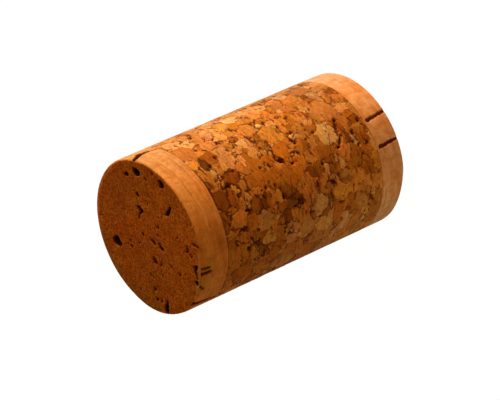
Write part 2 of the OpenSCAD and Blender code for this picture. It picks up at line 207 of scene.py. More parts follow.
# Bearing, height, width round the body, length along it, turn, colour, and how open the
# cracks round the granule are, from 0 to 1
CHARTED_GRANULES = [
    (-66, 33.6, 2.3, 0.8, 0, "orange", 0.4), (-74.2, 33.7, 1.1, 0.7, 0, "umber", 0.8),
    (-70.5, 32.6, 2.6, 1.3, 0, "tan", 0.4), (-67.5, 31.7, 1.1, 1, 0, "pale", 0.3),
    (-59, 32, 1.9, 1.05, -5, "bark", 0.9), (-55, 30.5, 2.1, 2.3, -20, "russet", 0.4),
    (-66, 30.6, 2.1, 0.9, 0, "tan", 0.3), (-76, 29.6, 2, 2.5, 0, "rust", 0.8),
    (-82, 29.3, 1.2, 0.6, 10, "rust", 0.4), (-67, 29.5, 1.9, 1, 0, "rose", 0.3),
    (-63, 28.3, 2.7, 2.1, 0, "rose", 0.3), (-54, 28.2, 1.5, 2, 0, "pale", 0.3),
    (-44.5, 28.8, 2.1, 2.3, 0, "coral", 0.2), (-43, 32.7, 3.1, 2.9, 0, "terracotta", 0.2),
    (-48.5, 31.4, 1.4, 2, 0, "orange", 0.2), (-56, 33, 1.8, 1.2, -25, "gold", 0.3),
    (-51, 33.6, 0.8, 0.9, 0, "honey", 0.2), (-36, 31, 2.1, 1.5, -15, "cream", 0.2),
    (-34, 29.3, 2.4, 1.3, -35, "tan", 0.2), (-34.5, 27.9, 2.4, 2.2, -20, "rose", 0.2),
    (-27, 32.5, 2.6, 2.6, -30, "honey", 0.2), (-72.5, 27.2, 2.3, 1.7, 0, "orange", 0.3),
    (-68, 26.6, 1.8, 1.2, 0, "rose", 0.2), (-67, 25.45, 2, 0.95, 0, "amber", 0.3),
    (-64.8, 24, 2.1, 1.5, 10, "rose", 0.2), (-62, 24.85, 1, 0.8, 0, "amber", 0.2),
    (-55, 24.3, 1.5, 1.7, 0, "cream", 0.5), (-56.5, 23.2, 1.9, 0.8, 0, "honey", 0.3),
    (-62.7, 21.7, 1.8, 1.6, 0, "ochre", 0.7), (-58.8, 19.5, 3.4, 2.9, 0, "gold", 0.3),
    (-65.2, 20.4, 0.9, 1.2, 0, "honey", 0.2), (-72, 19.9, 2.1, 2.6, 0, "burnt", 0.3),
    (-46, 21.9, 3.4, 2.2, 0, "coral", 0.2), (-54.5, 21.6, 1.4, 1.2, 0, "ochre", 0.3),
    (-46.5, 19.6, 0.9, 1.2, 0, "cream", 0.4), (-43, 24.5, 1.8, 1.1, -20, "tan", 0.2),
    (-49.3, 24.9, 1.4, 1.2, 0, "russet", 0.3), (-41, 26.2, 1.9, 1.5, -10, "rose", 0.2),
    (-58.5, 25.9, 1.6, 1.2, -40, "honey", 0.3), (-52.6, 26.4, 1.1, 1.5, -30, "tan", 0.3),
    (-30, 26.2, 2.6, 1.8, -25, "rose", 0.1), (-25.5, 21.5, 2.3, 2.4, -20, "cream", 0.1),
    (-30, 23.8, 2.6, 1.4, -30, "tan", 0.2), (-74.8, 24.6, 1.9, 2.2, 0, "amber", 0.3),
    (-75, 22.4, 1.8, 1.5, 0, "burnt", 0.3), (-66.5, 22.45, 1.8, 0.5, 3, "honey", 0.2),
    (-36.5, 22.5, 2.2, 1.6, -25, "amber", 0.2), (-37, 20.2, 1.5, 1.4, -20, "ochre", 0.2),
    (-67.5, 17.95, 1.3, 1.2, 0, "orange", 0.3), (-66.7, 16.55, 1, 1.35, 0, "honey", 0.6),
    (-61, 15.5, 1.1, 1.4, 0, "tan", 0.3), (-59.2, 16.2, 1.1, 0.8, -15, "russet", 0.3),
    (-57, 16.9, 2, 1, 0, "orange", 0.3), (-52.2, 16.3, 2.1, 1.7, 0, "orange", 0.3),
    (-49, 17.8, 1.35, 1.5, -20, "honey", 0.5), (-52.3, 14.9, 1.9, 1.5, 0, "amber", 0.2),
    (-52.3, 13.2, 2.1, 2.1, 0, "orange", 0.2), (-46.5, 14.3, 1.4, 0.7, -15, "burnt", 0.2),
    (-41, 13.3, 1.7, 1.7, 0, "terracotta", 0.4), (-61.2, 12.75, 1.4, 1.1, 0, "honey", 0.3),
    (-65.7, 13, 1.3, 1.7, 0, "ochre", 0.3), (-74, 11.35, 3.6, 3, 0, "cream", 0.5),
    (-74.8, 14.45, 2.3, 1.2, 0, "tan", 0.3), (-69, 14.8, 1.6, 1.5, 0, "tan", 0.3),
    (-61.5, 14.4, 1.6, 1.1, 0, "tan", 0.2), (-76.5, 13.15, 1.7, 0.9, 0, "ochre", 0.3),
    (-75.3, 16.3, 2, 2, 0, "amber", 0.3), (-38.5, 16.9, 2.6, 2.2, -25, "orange", 0.2),
    (-33.5, 18, 2.4, 2.2, -25, "coral", 0.1), (-24, 18.5, 1.7, 2, -20, "rose", 0.1),
    (-37, 15.6, 2.2, 0.9, -10, "amber", 0.2), (-33, 14.1, 2, 1.3, -15, "terracotta", 0.2),
    (-27, 13.5, 2.2, 1.8, -30, "orange", 0.1), (-48.8, 11.4, 1.5, 1.6, -40, "honey", 0.3),
    (-37.5, 11.8, 2.5, 1.7, -15, "orange", 0.1), (-57.5, 9.2, 4.6, 3.6, 0, "coral", 0.2),
    (-61, 11.3, 2.2, 1, 0, "tan", 0.2), (-68.5, 9.6, 1.4, 1.3, 0, "russet", 0.3),
    (-70.5, 7.5, 3.2, 1.1, 0, "terracotta", 0.3), (-75, 8.5, 2.2, 0.8, 0, "russet", 0.3),
    (-72.3, 5.9, 1.4, 1.7, 0, "umber", 0.7), (-66.3, 6, 1.7, 1.7, 0, "amber", 0.4),
    (-60.5, 6, 2, 2.1, -10, "honey", 0.3), (-63, 4.7, 2, 1, 0, "tan", 0.2),
    (-51.5, 5.4, 2.2, 1.7, -25, "terracotta", 0.4), (-47, 6.6, 2.8, 1.2, -20, "orange", 0.2),
    (-39.5, 8, 1.8, 1.7, -20, "cream", 0.3), (-35, 6.2, 1.3, 1.5, -20, "rose", 0.1),
    (-37.5, 9.1, 1.2, 1.1, -30, "umber", 0.2), (-42, 5, 1.4, 1.4, 0, "russet", 0.2),
    (-33, 4.9, 2.2, 1.4, -10, "terracotta", 0.1), (-26.5, 4.9, 2.2, 1.5, -10, "honey", 0.1),
    (-26.5, 8.3, 2.6, 2.8, -20, "terracotta", 0.1), (-22, 11.3, 2, 2, -20, "rose", 0.1),
    (-78.3, 6, 1.1, 2, 0, "ochre", 0.3), (-43.5, 10.5, 1.6, 1.4, -30, "orange", 0.2),
    (-32, 10.5, 1.8, 1.6, -20, "orange", 0.1), (-130, 33, 3.3, 2.1, 15, "orange", 0.2),
    (-119.5, 33.2, 2.2, 1.5, 0, "amber", 0.3), (-103, 33.65, 3.4, 1.05, 0, "russet", 0.5),
    (-112.3, 33.3, 1.3, 1.4, 0, "gold", 0.3), (-88.5, 33, 3, 2.2, 0, "umber", 1),
    (-104.5, 31.3, 2.5, 2.8, 0, "orange", 0.2), (-96.3, 31.9, 1.3, 1.9, 0, "amber", 0.3),
    (-90, 31.1, 3, 1.3, 0, "russet", 0.5), (-91, 30.55, 1.9, 0.8, -8, "ochre", 0.3),
    (-96, 29.85, 2.2, 1.1, 0, "orange", 0.3), (-95.5, 28.7, 2.3, 1, -22, "rose", 0.3),
    (-100.3, 27.6, 2.5, 1.9, 0, "russet", 0.6), (-110, 29, 2.4, 2, 0, "burnt", 0.4),
    (-113, 26.95, 2.7, 2.5, 0, "pale", 0.3), (-126.7, 26.5, 1.9, 2.8, 0, "pale", 0.3),
    (-117.5, 31.1, 1.4, 1.9, 0, "orange", 0.3), (-119.8, 28.85, 1.6, 1.1, 0, "ochre", 0.4),
    (-128, 31.3, 2.4, 1.3, 10, "amber", 0.3), (-133, 29.1, 2.2, 1.8, 20, "tan", 0.3),
    (-133, 27.8, 2.7, 1.6, 35, "olive", 0.6), (-121.9, 27.5, 1.1, 1.6, 0, "russet", 0.3),
    (-83.7, 30, 1.9, 0.9, 12, "gold", 0.5), (-83.4, 28.65, 1.35, 1.3, 0, "orange", 0.4),
    (-91.2, 27.1, 1.1, 1.9, 0, "orange", 0.3), (-84, 27.1, 2.2, 1.9, -15, "amber", 0.3),
    (-84, 31.5, 1.5, 0.25, -15, "cream", 0.6), (-79.5, 33.1, 0.7, 1.3, 0, "terracotta", 0.3),
    (-97.5, 32.2, 0.5, 1.4, 10, "rose", 0.3), (-101, 26.25, 2, 1.1, 0, "umber", 0.4),
    (-97, 26.5, 0.8, 0.8, 0, "ochre", 0.3), (-85.5, 25.3, 2.4, 1.8, 0, "amber", 0.2),
    (-103, 24.6, 3, 0.8, 0, "orange", 0.3), (-102, 25.35, 3.2, 0.6, 0, "burnt", 0.3),
    (-101.5, 23.45, 2.5, 1, 0, "gold", 0.4), (-127, 24.3, 4.3, 1.6, 0, "amber", 0.2),
    (-118.3, 24.1, 1.5, 1.2, 0, "amber", 0.3), (-116.5, 22.8, 1.8, 1.4, 10, "umber", 0.6),
    (-108.5, 21.7, 1.6, 1.8, 0, "olive", 0.5), (-99.5, 21.7, 2.2, 2.4, 0, "olive", 0.6),
    (-92, 20.6, 3.6, 1.9, 0, "burnt", 0.1), (-88.5, 22.9, 3, 2.8, 0, "amber", 0.2),
    (-124.3, 22.45, 1.3, 1, 0, "pale", 0.3), (-127.5, 21.5, 1.7, 1.6, 0, "rose", 0.4),
    (-134.7, 22.1, 1.4, 1.8, 0, "rose", 0.2), (-118.5, 21.3, 2.2, 1.4, 0, "orange", 0.3),
    (-123.5, 20.4, 3.6, 0.9, -3, "orange", 0.3), (-132, 19.3, 3.1, 2.8, 20, "pale", 0.1),
    (-119, 19.3, 2.8, 1.5, 0, "orange", 0.2), (-106.8, 20.35, 1.5, 1.2, 0, "umber", 0.4),
    (-113.8, 24.45, 0.7, 1, 0, "pale", 0.4), (-108.5, 23.3, 1.9, 1.2, 0, "amber", 0.4),
    (-119.5, 16.5, 3.3, 2.7, 25, "pale", 0.5), (-134.5, 15.6, 2.9, 3.1, 30, "pale", 0.2),
    (-126.3, 15.6, 1.5, 1.7, 40, "russet", 0.2), (-116, 12.3, 2.2, 3.2, 0, "gold", 0.5),
    (-130, 13.1, 3.4, 2, 0, "amber", 0.3), (-122.3, 12.8, 0.9, 1.5, 0, "tan", 0.3),
    (-109, 18.1, 3.3, 2.3, 0, "orange", 0.2), (-99.5, 18, 2.5, 3, 0, "orange", 0.2),
    (-96, 16.6, 1.5, 1.8, 0, "umber", 0.3), (-87.5, 18.3, 2.1, 2.8, 0, "burnt", 0.3),
    (-105.5, 15.2, 2.6, 1.3, 0, "orange", 0.3), (-93.5, 15.2, 2.2, 1.3, 0, "russet", 0.2),
    (-97.3, 13.85, 1.5, 0.7, -5, "rose", 0.4), (-84.5, 15.7, 2, 2.2, 0, "orange", 0.2),
    (-85, 13.2, 2.4, 2.3, 0, "amber", 0.3), (-98, 13, 1.6, 1.1, 0, "russet", 0.4),
    (-91.8, 12.9, 1.3, 1.8, 0, "russet", 0.3), (-107.3, 12.7, 0.9, 0.65, 0, "rose", 0.5),
    (-116.5, 14.55, 1.3, 0.8, 15, "olive", 0.5), (-110.7, 14.6, 1.8, 1.2, 0, "terracotta", 0.3),
    (-136, 11.7, 1.2, 1.4, 0, "rose", 0.2), (-130, 10.6, 3.3, 1.9, 0, "russet", 0.3),
    (-107.5, 10.9, 1.9, 1.9, 0, "tan", 0.4), (-117, 9.7, 2.5, 1.7, 0, "orange", 0.2),
    (-125.5, 9.5, 2.2, 1.1, 10, "terracotta", 0.2), (-109.7, 8.6, 2.3, 2.2, 0, "orange", 0.2),
    (-101.3, 9, 1.4, 3, 0, "amber", 0.3), (-97.3, 11.15, 1.9, 0.9, -5, "honey", 0.4),
    (-91, 10, 2.6, 1.8, -20, "orange", 0.3), (-94, 8.2, 2, 1.5, 0, "russet", 0.4),
    (-84.3, 8.4, 1.2, 0.8, 0, "umber", 0.5), (-108.5, 6.4, 2.2, 1.7, 0, "russet", 0.3),
    (-118, 6.4, 1.6, 2.1, 0, "terracotta", 0.2), (-124.2, 7.2, 1.4, 1.7, 0, "ochre", 0.3),
    (-120.5, 5.1, 1.8, 1.7, 0, "orange", 0.2), (-126.3, 6.4, 1.5, 1, 15, "rose", 0.3),
    (-132.5, 8.3, 2.4, 2, 25, "tan", 0.2), (-105, 5, 2.8, 1.6, 0, "orange", 0.2),
    (-97, 5.8, 1.6, 1.6, 0, "burnt", 0.4), (-91.5, 4.7, 3, 0.8, 0, "honey", 0.2),
    (-86.7, 6, 1.3, 2, 0, "russet", 0.3), (-81, 5.9, 1.5, 2.2, 0, "ochre", 0.4),
    (-91.3, 6.7, 0.8, 0.5, -30, "gold", 0.5), (-146, 30.5, 2.2, 2.5, 20, "amber", 0.2),
    (-146, 17, 2.5, 3, 20, "tan", 0.1), (-147, 22, 2.2, 2.6, 20, "orange", 0.2),
    (-145, 11.5, 2.2, 1.8, 20, "rose", 0.2),
]

# Hollows between granules: bearing, height, width round the body, length along it, turn,
# and share of the full depth
CHARTED_HOLLOWS = [
    (-57.2, 29.6, 0.65, 0.45, -10, 1), (-72.3, 28.8, 0.4, 0.35, 0, 1),
    (-73.6, 30.85, 0.3, 0.3, 0, 1), (-62.6, 31.4, 0.55, 0.3, 0, 0.75),
    (-73.7, 32.15, 0.4, 0.35, 0, 0.75), (-80.2, 30.8, 0.8, 0.75, 0, 1),
    (-80.6, 31.85, 0.35, 0.4, 20, 1), (-46, 27.5, 0.65, 0.25, -10, 1),
    (-41, 27.35, 0.5, 0.28, -10, 0.75), (-55.5, 27, 0.9, 0.3, -15, 0.75),
    (-44, 31.25, 0.35, 0.25, -20, 0.5), (-26.5, 29, 1.5, 0.55, -42, 1),
    (-76, 33.2, 0.8, 0.25, 12, 0.75), (-77.8, 24.45, 0.25, 0.4, -15, 1),
    (-79, 23, 0.35, 0.3, 0, 0.75), (-77, 21.35, 0.8, 0.3, 15, 1),
    (-74.2, 21.2, 0.35, 0.25, 0, 0.75), (-79.7, 20.7, 0.55, 0.75, -35, 1),
    (-60.5, 22.35, 0.6, 0.25, -5, 0.75), (-57.3, 22.8, 0.55, 0.25, 0, 0.75),
    (-53.6, 22.7, 0.75, 0.3, -22, 1), (-62.5, 20.85, 0.6, 0.28, 0, 0.5),
    (-54.8, 25.65, 0.5, 0.28, -15, 0.75), (-47, 25.9, 0.75, 0.25, -15, 0.75),
    (-42, 20.3, 0.85, 0.32, -10, 1), (-41.5, 19.5, 0.7, 0.25, -8, 0.75),
    (-49.2, 19.85, 1, 0.25, -62, 0.75), (-36.8, 24.5, 0.5, 0.3, -10, 0.5),
    (-42, 23.5, 0.9, 0.25, -5, 0.5), (-51, 24.95, 0.5, 0.28, 0, 0.5),
    (-69.8, 22.95, 0.25, 0.3, 0, 0.5), (-77.7, 17.95, 0.4, 0.3, 0, 1),
    (-78.3, 17.45, 0.65, 0.4, 0, 1), (-74.9, 17.4, 0.25, 0.35, 0, 0.75),
    (-71.2, 16.85, 0.5, 0.5, 20, 1), (-69.6, 17.25, 0.6, 0.28, 10, 0.75),
    (-63.1, 16.95, 0.4, 0.35, 0, 1), (-63.1, 16.3, 0.3, 0.8, 5, 0.75),
    (-57.6, 17.35, 0.6, 0.28, 0, 0.75), (-55, 17.45, 0.7, 0.28, 5, 1),
    (-52.3, 17.85, 0.4, 0.25, 30, 0.5), (-46.9, 18.7, 1, 0.35, -12, 1),
    (-42, 17.75, 0.85, 0.28, -15, 0.5), (-50.1, 15.05, 0.5, 0.5, 0, 1),
    (-65, 14, 0.4, 0.3, 0, 1), (-69.8, 13.2, 0.38, 0.5, 0, 1), (-72.5, 15, 0.3, 0.25, 0, 0.75),
    (-43.8, 12.35, 0.3, 0.3, 0, 0.5), (-28.5, 15.8, 0.9, 0.5, -10, 0.5),
    (-73.6, 9.25, 1.25, 0.55, -15, 1), (-70.8, 9.05, 0.6, 0.3, -10, 1),
    (-67.6, 8.7, 0.45, 0.65, 25, 1), (-78.8, 9.7, 0.6, 0.25, -20, 0.5),
    (-79.3, 9.1, 0.35, 0.4, 0, 0.5), (-51.6, 10.75, 0.6, 0.25, -40, 0.5),
    (-39.4, 11.15, 0.4, 0.4, 0, 0.5), (-33.8, 9.8, 0.5, 0.35, -35, 0.75),
    (-74.6, 5.15, 0.45, 0.5, 15, 1), (-40.2, 7.05, 1.6, 0.25, -44, 0.5),
    (-112, 31, 0.36, 0.85, -5, 1), (-112.7, 30.1, 0.35, 0.38, 0, 1),
    (-101.3, 29.2, 0.45, 1.05, -22, 1), (-103.8, 29.5, 0.35, 0.3, 0, 0.75),
    (-128.2, 30.2, 0.8, 0.75, 20, 1), (-126.4, 29, 0.35, 0.85, 18, 1),
    (-121.2, 29.7, 0.7, 0.5, 10, 0.75), (-122.2, 31.35, 0.5, 0.4, 30, 0.75),
    (-109, 32.8, 0.4, 0.28, 0, 0.75), (-110.4, 32.3, 0.35, 0.6, 10, 0.5),
    (-96.9, 32.75, 0.28, 0.55, 10, 0.75), (-90.2, 30, 0.85, 0.3, -8, 1),
    (-88.4, 29.65, 0.25, 0.5, 15, 0.75), (-89.1, 28.4, 0.45, 0.38, 10, 0.5),
    (-117, 29.3, 0.3, 0.3, 0, 0.5), (-136.4, 27.3, 0.65, 0.4, 10, 1),
    (-121.8, 27.1, 0.4, 0.5, 0, 0.5), (-132.4, 26.2, 0.6, 0.42, -30, 0.75),
    (-132.7, 25.5, 0.4, 0.28, 0, 0.5), (-136, 23.35, 0.42, 0.6, 0, 0.75),
    (-122.5, 23.15, 0.5, 0.3, 30, 0.75), (-103.2, 22.6, 0.85, 0.6, -15, 1),
    (-113, 21.1, 0.35, 1, 18, 1), (-110.5, 20.1, 1, 0.6, 10, 1), (-111.6, 19.5, 0.3, 0.6, 20, 1),
    (-107.3, 19.5, 0.6, 0.32, 0, 0.75), (-104, 20.7, 0.5, 0.38, 0, 0.5),
    (-107.6, 20.8, 0.6, 0.25, 0, 0.5), (-93.3, 23.55, 0.5, 0.35, -10, 0.75),
    (-89.5, 24.3, 0.35, 0.28, 0, 0.75), (-92.4, 25.2, 0.65, 0.45, 10, 0.75),
    (-97.5, 26, 0.7, 0.3, 40, 0.75), (-92.5, 26.1, 0.28, 0.25, 0, 0.5),
    (-122, 21.3, 0.4, 0.25, 0, 0.5), (-83.7, 19.1, 0.42, 0.6, 10, 1),
    (-83.9, 18.4, 0.3, 0.25, 0, 0.5), (-122.2, 18.35, 0.75, 0.5, -15, 1),
    (-117, 17.6, 1.9, 0.25, -27, 0.75), (-105.5, 16.25, 0.6, 0.42, 0, 0.75),
    (-103.3, 16.4, 0.45, 0.32, 0, 1), (-100.4, 15.7, 0.8, 0.28, -10, 0.75),
    (-113.8, 15.4, 0.5, 0.3, 28, 0.75), (-118.6, 14.75, 0.4, 0.28, 0, 0.5),
    (-116.5, 14, 1.5, 0.28, 7, 0.75), (-107.7, 13.4, 0.85, 0.95, 0, 1),
    (-105.8, 14.15, 0.35, 0.8, -5, 0.75), (-93.1, 14.35, 0.42, 0.35, 0, 1),
    (-124.5, 12.5, 0.35, 0.8, -12, 1), (-108.3, 12.15, 0.6, 0.3, 5, 0.75),
    (-98.5, 12.4, 1, 0.28, 0, 0.5), (-133.2, 6.3, 1.7, 0.35, 33, 1),
    (-124.5, 8.45, 0.6, 0.3, 15, 0.5), (-133.5, 8.15, 0.5, 0.25, 20, 0.5),
    (-97.7, 6.95, 0.42, 0.65, 12, 0.75), (-90.8, 7.15, 0.65, 0.35, -25, 0.75),
    (-91.3, 5.65, 0.6, 0.45, 0, 1), (-92, 6.2, 0.4, 0.28, 0, 0.5),
    (-86.8, 7.75, 0.55, 0.45, 0, 1), (-81.4, 7.1, 0.6, 0.48, 0, 1),
    (-79.4, 7, 0.4, 0.5, 15, 0.75), (-86.5, 10.45, 0.42, 0.85, 22, 1),
    (-83.6, 9.95, 0.95, 0.42, -33, 1), (-80.8, 9.45, 0.8, 0.28, -33, 0.75),
    (-83.5, 11.2, 0.4, 0.25, 15, 0.5), (-103.5, 10.35, 0.4, 0.28, 15, 0.5),
    (-102.1, 10.7, 0.25, 0.35, 0, 0.5), (-103.8, 8.3, 0.6, 0.25, -30, 0.5),
    (-117, 8.85, 0.35, 0.35, 0, 0.5), (-138.5, 24.5, 0.5, 0.4, 0, 0.75),
    (-145.5, 26.8, 0.4, 1.5, 0, 0.75),
]
# Hollows scattered over the rest of the body: limits of each column of the chart, and the
# steps that spread them evenly between those limits
SCATTERED_HOLLOWS = 96
SCATTER_LIMITS = ((-20, 200), (5.4, 33), (0.35, 1.15), (0.28, 0.6), (-35, 35), (0.5, 1))
SCATTER_STEPS = (0.755, 0.57, 0.618, 0.414, 0.302, 0.236)

# Open cracks between granules: bearing, height, width round the body, length along it,
# turn, and how dark they are
CHARTED_CRACKS = [
    (-67, 31.15, 0.5, 0.22, 5, 0.9), (-58.5, 32.5, 1.9, 0.16, -6, 0.9),
    (-63.2, 31.9, 0.16, 0.9, 15, 0.9), (-59, 31.45, 1.7, 0.16, -10, 0.8),
    (-54.6, 32.1, 0.16, 0.8, 0, 0.8), (-67, 34.12, 2.6, 0.2, 0, 1),
    (-74.8, 34.12, 1.4, 0.2, 0, 1), (-61, 33.95, 1.1, 0.2, -8, 1),
    (-86.5, 34.1, 2.6, 0.16, 0, 0.9), (-94.6, 33.4, 1.7, 0.17, 50, 1),
    (-90, 31.95, 2.8, 0.18, -9, 1), (-84.5, 27.9, 1.8, 0.18, -14, 0.9),
    (-91.5, 28.15, 0.9, 0.16, 12, 0.9), (-85.8, 29.22, 0.6, 0.16, 10, 0.9),
    (-71.4, 29.6, 0.16, 1.7, -5, 0.9), (-78.5, 28.6, 1, 0.16, -30, 0.8),
    (-60, 27.65, 0.2, 0.3, 0, 0.8), (-49, 28, 0.7, 0.16, -40, 0.8),
    (-40.2, 27.9, 0.2, 0.6, 0, 0.7), (-52, 33.2, 0.9, 0.16, -15, 0.6),
    (-47, 20.35, 0.5, 0.18, 0, 0.8), (-64.5, 21.1, 1.2, 0.16, -50, 0.7),
    (-59.5, 21.6, 0.16, 1.4, -25, 0.7), (-67, 17.33, 0.9, 0.16, 0, 1),
    (-49.1, 13.4, 0.95, 0.14, -62, 0.9), (-61.2, 13.85, 0.4, 0.2, -20, 0.8),
    (-72, 6.4, 1.4, 0.2, 25, 0.9), (-47, 7.3, 1.7, 0.17, 0, 0.7),
    (-51, 6.4, 2.4, 0.15, -38, 0.7), (-55.6, 7.1, 0.5, 0.2, -30, 0.8),
    (-58, 4.8, 1, 0.16, -25, 0.7), (-120, 30.4, 0.45, 0.2, 5, 0.8),
    (-101, 32.4, 0.8, 0.2, 5, 0.9), (-97, 22.95, 1.2, 0.2, 3, 1), (-97, 24.9, 1, 0.18, 8, 0.9),
    (-107, 24.2, 1.8, 0.17, 2, 0.8), (-88.9, 21.9, 0.45, 0.18, 5, 0.8),
    (-128, 21.95, 1.4, 0.15, 2, 0.8), (-108.5, 16.35, 1.1, 0.18, -15, 1),
    (-92, 17.4, 0.18, 1.4, 8, 0.8), (-105.3, 12.2, 1, 0.18, 0, 0.9),
    (-84.3, 7.25, 1.1, 0.2, 0, 1), (-118, 32.8, 0.9, 0.16, 10, 0.7),
    (-104.5, 27.3, 0.9, 0.16, -50, 0.8), (-100, 26.75, 1.2, 0.2, -5, 0.8),
    (-95.5, 27.1, 0.9, 0.16, 55, 0.8), (-132.5, 28.6, 2.2, 0.16, 35, 0.7),
    (-130.5, 27.6, 2.2, 0.16, 35, 0.8), (-114.5, 23.9, 1.2, 0.17, 55, 0.7),
    (-121, 22.4, 0.16, 0.8, 30, 0.8), (-105.2, 21.7, 0.16, 1.6, -5, 0.8),
    (-98.2, 28.6, 0.9, 0.16, -20, 0.6), (-104, 21.2, 0.2, 0.9, 0, 0.8),
    (-120.5, 14.2, 0.17, 1, -25, 0.8), (-110, 13.3, 0.8, 0.16, -45, 0.7),
    (-96, 14.9, 1, 0.16, 0, 0.5), (-99, 13.55, 1.6, 0.15, -5, 0.6),
    (-78.5, 13.9, 1.4, 0.15, -35, 0.6), (-82, 13.9, 1, 0.15, -38, 0.7),
    (-99.5, 7.4, 0.9, 0.18, -50, 0.7), (-93.3, 7.3, 1.2, 0.18, -15, 0.8),
    (-106.5, 7.4, 1, 0.15, 40, 0.5),
]

# Pores of the upper face: x, y, length, width and direction of the length, and darkness, partly painted
# shade
FACE_PORES = [
    (1.5, 7.6, 1.7, 1.4, 50, 0.8), (-0.2, 4.6, 0.55, 0.4, 40, 0.85), (0.6, 4.4, 0.42, 0.34, 0, 0.6),
    (0.4, 5.3, 0.3, 0.3, 0, 0.55), (0.7, 0.75, 0.5, 0.42, 70, 0.85), (-3.3, 0.8, 1.0, 0.8, 0, 0.72),
    (-4.2, -0.4, 0.9, 0.3, -60, 0.6), (-0.8, -0.8, 1.1, 0.5, 35, 0.78),
    (-2.0, -2.1, 1.2, 0.55, 15, 1.0), (-0.3, -2.6, 0.4, 0.35, 0, 0.5),
    (0.7, -3.45, 0.5, 0.45, -40, 0.9), (4.0, -1.1, 1.2, 0.85, 20, 0.85),
    (3.3, -0.3, 1.0, 0.4, -50, 0.65), (6.2, -2.05, 0.65, 0.5, 30, 0.95),
    (9.4, -1.6, 1.0, 0.5, 75, 1.0), (9.1, -4.1, 1.5, 1.0, 50, 1.0), (7.5, -5.6, 0.45, 0.35, 0, 0.6),
    (2.0, -7.3, 1.9, 0.6, -70, 0.8), (5.9, -8.5, 1.15, 1.0, 20, 1.0), (-1.7, -6.8, 0.3, 0.3, 0, 0.5),
    (-5.0, -2.4, 0.5, 0.42, 0, 0.75), (-6.5, -3.7, 0.5, 0.4, 0, 0.7),
    (-3.8, -7.8, 1.1, 0.5, 140, 0.85), (-4.8, -8.1, 0.7, 0.4, 160, 0.65),
    (-3.5, -9.9, 0.7, 0.4, 60, 0.7), (-4.0, -10.5, 0.5, 0.4, 20, 0.8),
    (-6.6, -8.0, 0.9, 0.6, 110, 0.9), (-7.2, -7.5, 0.9, 0.5, 160, 0.85),
    (-8.0, -7.3, 0.5, 0.35, 120, 0.7), (-8.6, -6.6, 0.8, 0.6, 100, 0.9),
    (-10.35, 3.05, 1.6, 0.75, 140, 1.3), (-9.5, 2.3, 0.8, 0.5, 135, 1.0),
    (-7.1, 3.7, 0.7, 0.45, -80, 0.7), (-8.5, 4.2, 0.6, 0.4, 60, 0.65), (-9.0, 3.3, 0.7, 0.3, -50, 0.5),
    (5.0, 2.3, 0.25, 0.25, 0, 0.45), (-9.8, -5.0, 0.4, 0.3, 0, 0.5), (-6.2, 9.5, 0.6, 0.3, 35, 0.9),
    (5.7, 8.5, 0.3, 0.25, 0, 0.6), (4.2, 9.1, 0.25, 0.2, 0, 0.6), (6.15, 1.4, 0.3, 0.2, 0, 0.5),
    (-0.25, 2.4, 0.3, 0.2, 60, 0.5), (-5.0, 3.1, 0.4, 0.25, 0, 0.6), (-5.4, 2.8, 0.3, 0.25, 0, 0.6),
    (-5.7, 0.4, 0.3, 0.25, 0, 0.5), (7.9, -7.6, 0.6, 0.35, -50, 0.55), (4.5, -3.5, 0.6, 0.3, 0, 0.55),
    (1.9, -4.6, 0.35, 0.25, 40, 0.5), (-0.6, -10.4, 0.4, 0.3, 0, 0.5), (5.2, -4.4, 0.35, 0.25, 0, 0.5),
]

# Channels down the side of a disc: bearings and distances from the joint where one starts
# and ends, width at the start and at the end, share of the full depth, and darkness, partly painted
# shade
TOP_CHANNELS = [
    (-21.5, 0.2, -20.2, 2.0, 0.28, 0.4, 0.5, 0.9),
    (-20.0, 1.5, -18.7, 3.0, 0.6, 1.0, 1.0, 1.3),
    (-18.7, 2.7, -24.5, 4.85, 1.0, 0.6, 1.0, 1.3),
    (-162.0, 5.2, -164.3, 2.8, 0.9, 0.8, 0.9, 1.3),
    (-164.3, 2.9, -167.0, -0.1, 0.85, 0.6, 0.9, 1.1),
    (-132.2, 3.3, -131.8, 4.8, 0.5, 0.6, 0.5, 0.75),
    (-128.3, 3.5, -127.6, 4.9, 0.35, 0.5, 0.45, 0.6),
    (-146.0, 4.2, -142.5, 4.8, 0.5, 0.6, 0.25, 0.6),
]
BOTTOM_CHANNELS = [
    (-77.5, 0.55, -75.6, 4.3, 0.6, 0.42, 0.6, 0.56),
    (-98.5, 0.6, -97.3, 4.3, 0.58, 0.4, 0.6, 0.68),
]

